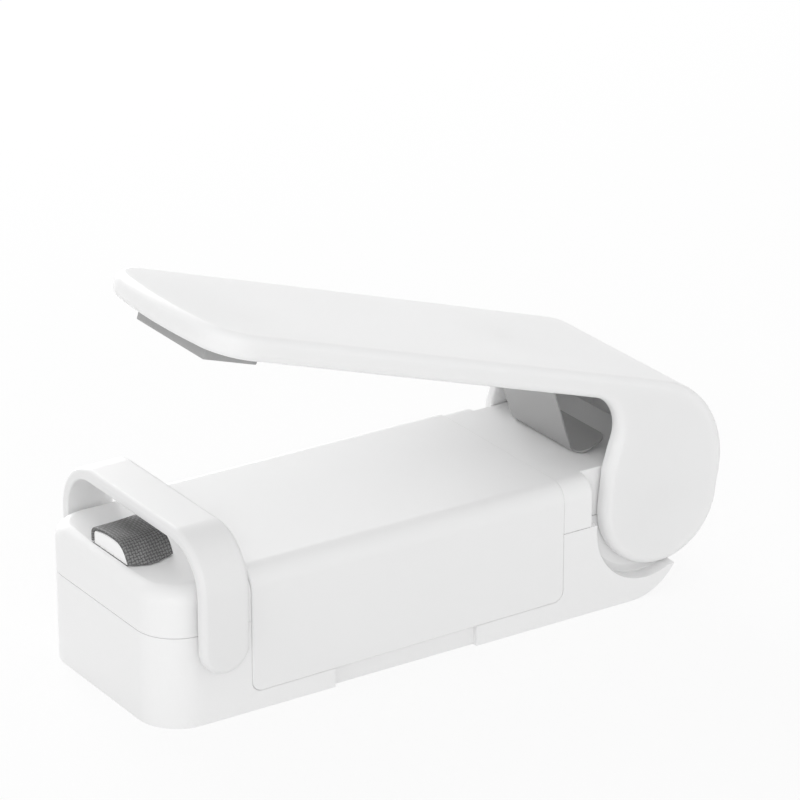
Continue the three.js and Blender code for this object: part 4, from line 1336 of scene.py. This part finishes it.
@dataclass(frozen=True)
class HeaterSizes:
    """Sizes of the heater head."""

    front: float = 2.0
    length: float = 7.5
    far: float = 4.4
    near: float = -5.5
    top: float = 24.9
    crown_radius: float = 20.0
    crown_y: float = -1.0
    near_radius: float = 3.3
    far_radius: float = 0.6
    low: float = 18.9
    flange: float = 2.4
    flange_length: float = 1.8
    flange_thickness: float = 1.5
    cloth_offset: float = 0.5
    cloth_thickness: float = 0.22
    cloth_inset: float = 0.12
    cloth_hem: float = 1.35
    cloth_fold: float = 0.13
    far_bulge: float = 0.6
    hem_lift: float = 0.22
    hem_places: tuple[Point2, ...] = (
        (0.0, 0.1), (0.2, 0.75), (0.4, 1.3), (0.6, 1.15), (0.75, 0.55), (0.85, 0.42), (1.0, 0.0)
    )
    block_edge: float = 0.12


@dataclass
class HeaterHead(Assembly):
    """Carrier block and the woven cloth over it."""

    head: HeaterSizes = HeaterSizes()

    def corner(self, side: float, radius: float) -> tuple[float, float, float]:
        """Centre of a round corner under the crown's arch, and the turn at which they meet."""
        h = self.head
        middle = h.top - h.crown_radius
        y = side - math.copysign(radius, side)
        z = middle + math.sqrt((h.crown_radius - radius) ** 2 - (y - h.crown_y) ** 2)
        return y, z, math.atan2(z - middle, y - h.crown_y)

    def crown(self, offset: float) -> Outline:
        """The crown's line from the far side over the arch to the near side."""
        h = self.head
        fy, fz, far_turn = self.corner(h.far, h.far_radius)
        ny, nz, near_turn = self.corner(h.near, h.near_radius)
        line = arc(fy, fz, h.far_radius + offset, 0, far_turn, 10)
        middle = h.top - h.crown_radius
        line += arc(h.crown_y, middle, h.crown_radius + offset, far_turn, near_turn, 30)[1:-1]
        return line + arc(ny, nz, h.near_radius + offset, near_turn, math.pi, 24)

    def carrier(self) -> Solid:
        """The white block with its flange feet."""
        h = self.head
        rear = h.front + h.length
        outline = [(h.far, h.low), *self.crown(0.0), (h.near, h.low)]
        shape = Solid.prism(outline, Plane.YZ, h.front, rear)
        for x0, x1 in ((h.front, h.front + h.flange_length), (rear - h.flange_length, rear)):
            low = (x0, h.near - h.flange, h.low)
            high = (x1, h.far + h.flange, h.low + h.flange_thickness)
            shape = shape.plus(Solid.block(low, high))
        return shape.soften(h.block_edge, segments=3)

    def spread(self, share: float) -> float:
        """How far the near skirt stands off at a share of the length."""
        places = self.head.hem_places
        for (a, low), (b, high) in zip(places, places[1:]):
            if share <= b:
                blend = (share - a) / (b - a)
                return low + (high - low) * blend * blend * (3 - 2 * blend)
        return places[-1][1]

    def drape(self, share: float, offset: float) -> Outline:
        """Cross line of the cloth at a share of its length and a distance off the block."""
        h = self.head
        hem = self.sizes.front_cap_top + h.hem_lift
        bulge = h.far_bulge * share * share
        fy, fz, far_turn = self.corner(h.far, h.far_radius)
        ny, nz, near_turn = self.corner(h.near, h.near_radius)
        side = h.far + offset + bulge
        line = [(side, hem + (fz - hem) * i / 6) for i in range(6)]
        line += [(y + bulge, z) for y, z in arc(fy, fz, h.far_radius + offset, 0, far_turn, 8)]
        middle = h.top - h.crown_radius
        arch = arc(h.crown_y, middle, h.crown_radius + offset, far_turn, near_turn, 26)[1:-1]
        line += [(y + bulge * (1 - i / len(arch)), z) for i, (y, z) in enumerate(arch)]
        reach = h.near_radius + offset
        foot = (h.near - offset - self.spread(share), hem)
        away = math.dist(foot, (ny, nz))
        turn = math.atan2(foot[1] - nz, foot[0] - ny) - math.acos(min(reach / away, 1.0))
        line += arc(ny, nz, reach, near_turn, turn, 18)
        last = line[-1]
        ends = list(zip(last, foot))
        return line + [tuple(a + (b - a) * i / 10 for a, b in ends) for i in range(1, 11)]

    def track(self) -> Outline:
        """Lengthwise line of the cloth as places and distances off the block."""
        h = self.head
        bend = h.cloth_fold
        first = h.front - h.cloth_inset + bend
        last = h.front + h.length - h.cloth_inset - bend
        middle = h.cloth_offset - bend
        steps, turns = 40, 8
        line = [(first + h.cloth_hem * (1 - i / 8), middle - bend) for i in range(8)]
        line += [
            (first - bend * math.sin(math.pi * i / turns), middle - bend * math.cos(math.pi * i / turns))
            for i in range(turns)
        ]
        line += [(first + (last - first) * i / steps, h.cloth_offset) for i in range(steps)]
        line += [
            (last + bend * math.sin(math.pi * i / turns), middle + bend * math.cos(math.pi * i / turns))
            for i in range(turns)
        ]
        return line + [(last - h.cloth_hem * i / 8, middle - bend) for i in range(9)]

    def cloth(self) -> Item:
        """The cloth: a sheet over the crown, its two ends turned under, with a wavy near skirt."""
        h = self.head
        track = self.track()
        x0, x1 = min(x for x, _ in track), max(x for x, _ in track)
        points: list[Point3] = []
        lengths: list[list[float]] = []
        for x, offset in track:
            line = self.drape((x - x0) / (x1 - x0), offset)
            lengths.append(self.distances(line))
            points += [(x, y, z) for y, z in line]
        runs = self.distances(track)
        columns = len(lengths[0])
        faces = grid_faces(len(track), columns)
        mesh = bpy.data.meshes.new("heater_cloth_sheet")
        mesh.from_pydata(points, [], faces)
        uv = mesh.uv_layers.new(name="weave")
        for polygon in mesh.polygons:
            for loop in polygon.loop_indices:
                row, column = divmod(mesh.loops[loop].vertex_index, columns)
                uv.data[loop].uv = (runs[row] / 10, lengths[row][column] / 10)
        mesh.transform(self.bench.matrix())
        work = bmesh.new()
        work.from_mesh(mesh)
        bmesh.ops.recalc_face_normals(work, faces=work.faces)
        if sum(f.normal.z * f.calc_area() for f in work.faces) < 0:
            bmesh.ops.reverse_faces(work, faces=work.faces)
        work.to_mesh(mesh)
        work.free()
        mesh.shade_smooth()
        mesh.materials.append(self.finishes.cloth)
        made = linked("heater_cloth_sheet", mesh)
        thick = made.modifiers.new("thickness", "SOLIDIFY")
        thick.thickness = h.cloth_thickness * MM
        thick.offset = 0.0
        self.bench.declare(made, "base", "heater_cloth", ["heater_cloth"])
        self.area(points, faces) * MM * MM
        return made

    @staticmethod
    def distances(line: Sequence[Point2]) -> list[float]:
        """How far along a line each of its points is."""
        run = [0.0]
        for a, b in zip(line, line[1:]):
            run.append(run[-1] + math.dist(a, b))
        return run

    @staticmethod
    def area(points: Sequence[Sequence[float]], faces: Sequence[Sequence[int]]) -> float:
        """Total area of four-cornered faces."""
        total = 0.0
        for face in faces:
            a, b, c, d = (Vector(points[i]) for i in face)
            total += ((c - a).cross(d - b)).length / 2
        return total

    def build(self) -> None:
        """Makes the block and the cloth."""
        block = self.finishes.block
        name = "heater_carrier_block"
        self.bench.piece(name, self.carrier(), block, "base", "heater_block", ["heater_carrier"])
        self.cloth()


@dataclass(frozen=True)
class ScrewSizes:
    """Sizes of a case screw, in millimetres."""

    head_radius: float = 2.0
    outer_radius: float = 1.64
    head_height: float = 1.4
    shank_radius: float = 0.9
    shank_length: float = 13.3
    tip_radius: float = 0.315
    tip_length: float = 1.5
    recess_length: float = 2.1
    recess_width: float = 0.5
    recess_depth: float = 0.8


@dataclass(frozen=True)
class SpringSizes:
    """Sizes of a cell's conical contact spring, in millimetres."""

    wide_radius: float = 3.6
    narrow_radius: float = 2.2
    wire_radius: float = 0.3


def inputs_of(sizes: ScrewSizes | SpringSizes) -> dict[str, float]:
    """The sizes in metres, under the names of a tree's inputs."""
    return {key.replace("_", " ").capitalize(): value * MM for key, value in vars(sizes).items()}


class Grower(GroupSheet):
    """A Geometry Nodes tree that repeats a shape at the points of a mesh."""

    def __init__(self, name: str, sizes: Sequence[str]) -> None:
        """Starts the tree with named number inputs, most of them lengths in metres."""
        given = {"Points": "Geometry", **dict.fromkeys(sizes, "Float"), "Finish": "Material"}
        super().__init__(name, "Geometry", given, {"Result": "Geometry"})

    def moved(self, shape: Socket, height: Socket) -> Socket:
        """The shape raised along Z by a height."""
        place = self.add("ShaderNodeCombineXYZ", {"Z": height}).outputs[0]
        return self.add("GeometryNodeTransform", {"Geometry": shape, "Translation": place}).outputs[0]

    def joined(self, first: Socket, second: Socket) -> Socket:
        """Two shapes made one."""
        node = self.add("GeometryNodeMeshBoolean", {1: first}, operation="UNION", solver="EXACT")
        self.feed(node, {1: second})
        return node.outputs[0]

    def without(self, first: Socket, second: Socket) -> Socket:
        """The first shape with the second cut away."""
        inputs = {0: first, 1: second}
        node = self.add("GeometryNodeMeshBoolean", inputs, operation="DIFFERENCE", solver="EXACT")
        return node.outputs[0]

    def repeat(self, shape: Socket) -> None:
        """Sets the shape on each point, turned by the point's own attribute, and ends the tree."""
        turn = self.add("GeometryNodeInputNamedAttribute", {"Name": "turn"}, data_type="FLOAT_VECTOR")
        inputs = {"Points": self.given["Points"], "Instance": shape, "Rotation": turn.outputs[0]}
        spread = self.add("GeometryNodeInstanceOnPoints", inputs)
        real = self.add("GeometryNodeRealizeInstances", {0: spread.outputs[0]})
        inputs = {"Geometry": real.outputs[0], "Material": self.given["Finish"]}
        self.end({"Result": self.add("GeometryNodeSetMaterial", inputs).outputs[0]})

    def grow(
        self, name: str, places: Sequence[Point3], turns: Sequence[Point3], values: dict[str, object]
    ) -> Item:
        """A plain mesh of the tree's result.

        Args:
            name: Name of the piece.
            places: Points in the row frame, in metres.
            turns: Rotation at each point, in radians.
            values: Values of the tree's named inputs.

        Returns:
            The new object, with no modifier left on it.
        """
        seeds = bpy.data.meshes.new(name)
        seeds.from_pydata(places, [], [])
        kept = seeds.attributes.new("turn", "FLOAT_VECTOR", "POINT")
        for spot, turn in zip(kept.data, turns):
            spot.vector = turn
        made = linked(name, seeds)
        modifier = made.modifiers.new("repeat", "NODES")
        modifier.node_group = self.tree
        for socket in self.tree.interface.items_tree:
            if socket.in_out == "INPUT" and socket.name in values:
                modifier[socket.identifier] = values[socket.name]
        mesh = evaluated(made)
        made.modifiers.remove(modifier)
        work = bmesh.new()
        work.from_mesh(mesh)
        bmesh.ops.remove_doubles(work, verts=work.verts, dist=1e-7)
        bmesh.ops.recalc_face_normals(work, faces=work.faces)
        work.to_mesh(mesh)
        work.free()
        made.data = mesh
        return made


@dataclass
class Repeats(Assembly):
    """Pieces that a Geometry Nodes tree repeats."""

    screw: ScrewSizes = ScrewSizes()
    spring: SpringSizes = SpringSizes()
    seat: float = 2.85
    turns: tuple[float, ...] = (0.3, 0.9, 0.1, 1.2)
    coils: float = 2.0

    def screw_tree(self) -> Grower:
        """Cross-recess screw with a tapered head and a pointed shank."""
        grower = Grower("screw_row", list(inputs_of(self.screw)))
        given = grower.given
        below = grower.math("MULTIPLY", given["Head height"], -1.0)
        middle = grower.math("MULTIPLY", given["Head height"], -0.5)
        end = grower.math("ADD", middle, given["Shank length"])
        parts = []
        for low, high, depth, sides, base in (
            ("Outer radius", "Head radius", "Head height", 48, below),
            ("Shank radius", "Shank radius", "Shank length", 32, middle),
            ("Shank radius", "Tip radius", "Tip length", 32, end),
        ):
            inputs = {"Vertices": sides, "Radius Bottom": given[low], "Radius Top": given[high]}
            cone = grower.add("GeometryNodeMeshCone", {**inputs, "Depth": given[depth]})
            parts.append(grower.moved(cone.outputs["Mesh"], base))
        body = grower.joined(grower.joined(parts[0], parts[1]), parts[2])
        deep = grower.math("MULTIPLY", given["Recess depth"], 2.0)
        for x, y in (("Recess length", "Recess width"), ("Recess width", "Recess length")):
            size = grower.add("ShaderNodeCombineXYZ", {"X": given[x], "Y": given[y], "Z": deep})
            slot = grower.add("GeometryNodeMeshCube", {"Size": size.outputs[0]})
            body = grower.without(body, grower.moved(slot.outputs["Mesh"], below))
        grower.repeat(body)
        return grower

    def screws(self) -> None:
        """The four case screws."""
        matrix = self.bench.matrix()
        made = self.screw_tree().grow(
            "case_screws",
            [tuple(matrix @ Vector((x, y, self.seat))) for x, y in self.sizes.screws],
            [(0.0, 0.0, turn) for turn in self.turns],
            {**inputs_of(self.screw), "Finish": self.finishes.steel},
        )
        nodes = [f"case_screw_{place}_{side}" for place in ("front", "rear") for side in ("near", "far")]
        self.bench.declare(made, "base", "plain_steel", nodes)

    def spring_tree(self) -> Grower:
        """Conical coil of round wire."""
        grower = Grower("coil_pair", [*inputs_of(self.spring), "Rise", "Coils"])
        given = grower.given
        inputs = {
            "Resolution": 40,
            "Rotations": given["Coils"],
            "Start Radius": given["Wide radius"],
            "End Radius": given["Narrow radius"],
            "Height": given["Rise"],
        }
        spiral = grower.add("GeometryNodeCurveSpiral", inputs).outputs[0]
        inputs = {"Resolution": 14, "Radius": given["Wire radius"]}
        ring = grower.add("GeometryNodeCurvePrimitiveCircle", inputs).outputs[0]
        inputs = {"Fill Caps": True, "Curve": spiral, "Profile Curve": ring}
        grower.repeat(grower.add("GeometryNodeCurveToMesh", inputs).outputs[0])
        return grower

    def springs(self) -> None:
        """The two contact springs, each wide end on its plate."""
        wire = self.spring.wire_radius * MM
        places, turns = [], []
        for side, turn in (("near", -1), ("far", 1)):
            low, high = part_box(f"cell_spring_{side}")
            axis = [(a + b) / 2 for a, b in zip(*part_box(f"cell_{side}"))]
            wide = low.x + wire if turn > 0 else high.x - wire
            places.append((wide, axis[1], axis[2]))
            turns.append((0.0, turn * QUARTER, 0.0))
            rise = high.x - low.x - 2 * wire
        values = {**inputs_of(self.spring), "Rise": rise, "Coils": self.coils}
        values["Finish"] = self.finishes.steel
        made = self.spring_tree().grow("cell_springs", places, turns, values)
        made.data.shade_smooth()
        self.bench.declare(made, "base", "plain_steel", ["cell_spring_near", "cell_spring_far"])

    def build(self) -> None:
        """Grows both."""
        self.screws()
        self.springs()


@dataclass
class CarriedNodes:
    """CAD nodes that keep their shape and take a finish."""

    nodes: dict[str, Item]
    finishes: Finishes
    CHOICE: ClassVar[dict[str, str]] = {
        "sleeve": "cell_near cell_far",
        "brass": "contact_bridge contact_plate_near contact_plate_far switch_blade switch_contact",
        "dark": "switch_base",
        "block": "switch_button",
        "lead_black": "lead_to_cells",
        "lead_red": "lead_to_switch lead_from_cells",
        "steel": "heating_ribbon hinge_axle leaf_screw loop_pin_near loop_pin_far",
        "loop": "loop_washer_near loop_washer_far",
    }

    def dress(self) -> None:
        """Gives each remaining CAD node its material."""
        for key, names in self.CHOICE.items():
            for name in names.split():
                made = self.nodes[name]
                made.data.materials.clear()
                made.data.materials.append(getattr(self.finishes, key))
                LOG.info("%s keeps its shape", name)


@dataclass
class Studio:
    """Floor, world, lamps and camera.

    Attributes:
        bench: Gives the body's place in the row frame.
        lens: Focal length on the sensor's width, in millimetres.
        turn: The camera's azimuth and elevation, in degrees.
        eye: The camera's place in the body's frame.
        soft: Strength of the surround as it lights the object.
        plain: Share of the floor that the camera sees as plain white.
        lamps: Name, place in metres, size and power of each lamp.
        aim: Point that the lamps face.
    """

    bench: Workbench
    lens: float = 189.6736
    sensor: float = 36.0
    clip: tuple[float, float] = (0.01, 20.0)
    turn: tuple[float, float] = (-33.29456, 22.58383)
    eye: Point3 = (-272.6175, -496.3510, 281.9084)
    soft: float = 0.76
    plain: float = 0.86
    floor_size: float = 3.0
    floor_tone: float = 0.9
    aim: Point3 = (0.0, 0.0, 0.015)
    lamps: tuple[tuple[str, Point3, float, float], ...] = (
        ("lamp_near", (-0.42, -0.72, 0.33), 0.3, 1.4),
        ("lamp_far", (0.12, 0.85, 0.26), 0.5, 4.8),
        ("lamp_front", (-0.89, -0.1, 0.13), 0.5, 0.45),
    )

    def floor(self) -> None:
        """A pale floor that keeps the object's shadow."""
        size = self.floor_size
        corners = [(-size, -size, 0), (size, -size, 0), (size, size, 0), (-size, size, 0)]
        mesh = bpy.data.meshes.new("studio_floor")
        mesh.from_pydata(corners, [], [(0, 1, 2, 3)])
        made = linked("studio_floor", mesh)
        material = bpy.data.materials.new("studio_floor")
        material.use_nodes = True
        nodes = material.node_tree.nodes
        sheet = NodeSheet(material.node_tree)
        shader = nodes["Principled BSDF"]
        sheet.feed(shader, {"Base Color": (*grey(self.floor_tone), 1.0), "Roughness": 0.9})
        sheet.feed(shader, {"Specular IOR Level": 0.0})
        glow = sheet.add("ShaderNodeEmission", {"Color": WHITE, "Strength": 1.0})
        path = sheet.add("ShaderNodeLightPath").outputs
        seen = sheet.math("MAXIMUM", path["Is Camera Ray"], path["Is Glossy Ray"])
        share = sheet.math("MULTIPLY", seen, self.plain)
        sheet.blend(share, shader.outputs[0], glow.outputs[0], nodes["Material Output"])
        mesh.materials.append(material)

    def world(self) -> None:
        """A soft white surround that the camera sees as plain white."""
        world = bpy.data.worlds.new("studio_world")
        bpy.context.scene.world = world
        world.use_nodes = True
        nodes = world.node_tree.nodes
        sheet = NodeSheet(world.node_tree)
        soft = nodes["Background"]
        sheet.feed(soft, {"Color": WHITE, "Strength": self.soft})
        white = sheet.add("ShaderNodeBackground", {"Color": WHITE, "Strength": 1.0})
        seen = sheet.add("ShaderNodeLightPath").outputs["Is Camera Ray"]
        sheet.blend(seen, soft.outputs[0], white.outputs[0], nodes["World Output"])

    def lamp(self, name: str, place: Point3, size: float, power: float) -> None:
        """A square soft lamp aimed at the middle of the object."""
        data = bpy.data.lights.new(name, "AREA")
        data.size = size
        data.energy = power
        made = linked(name, data)
        made.location = place
        aim = Vector(self.aim) - Vector(place)
        made.rotation_euler = aim.to_track_quat("-Z", "Y").to_euler()

    def camera(self) -> None:
        """The camera at the photograph's angle and distance."""
        data = bpy.data.cameras.new("photo_camera")
        data.lens = self.lens
        data.sensor_width = self.sensor
        data.clip_start, data.clip_end = self.clip
        data.dof.use_dof = False
        made = linked("photo_camera", data)
        azimuth, elevation = (math.radians(angle) for angle in self.turn)
        level = math.cos(elevation)
        back = Vector((math.sin(azimuth) * level, -math.cos(azimuth) * level, math.sin(elevation)))
        right = Vector((math.cos(azimuth), math.sin(azimuth), 0.0))
        turn = Matrix((right, back.cross(right), back)).transposed()
        place = self.bench.matrix() @ Vector(self.eye)
        made.matrix_world = Matrix.Translation(place) @ turn.to_4x4()
        bpy.context.scene.camera = made

    def build(self) -> None:
        """Sets the stage."""
        self.camera()
        self.floor()
        self.world()
        for lamp in self.lamps:
            self.lamp(*lamp)
        bpy.context.scene.view_settings.view_transform = "Standard"


def main() -> None:
    """Dresses the frame."""
    logging.basicConfig(level=logging.INFO, format="%(name)s: %(message)s")
    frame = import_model()
    bench = Workbench(origin=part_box("lower_shell")[0].x)
    Studio(bench).build()
    finishes = Finishes(EffectLibrary())
    BodyShells(bench, finishes).build()
    BatteryCover(bench, finishes).build()
    PressingArm(bench, finishes).build()
    SafetyLoop(bench, finishes).build()
    HeaterHead(bench, finishes).build()
    Repeats(bench, finishes).build()
    CarriedNodes(frame["nodes"], finishes).dress()
    LOG.info("both boxes are written")


if __name__ == "__main__":
    main()
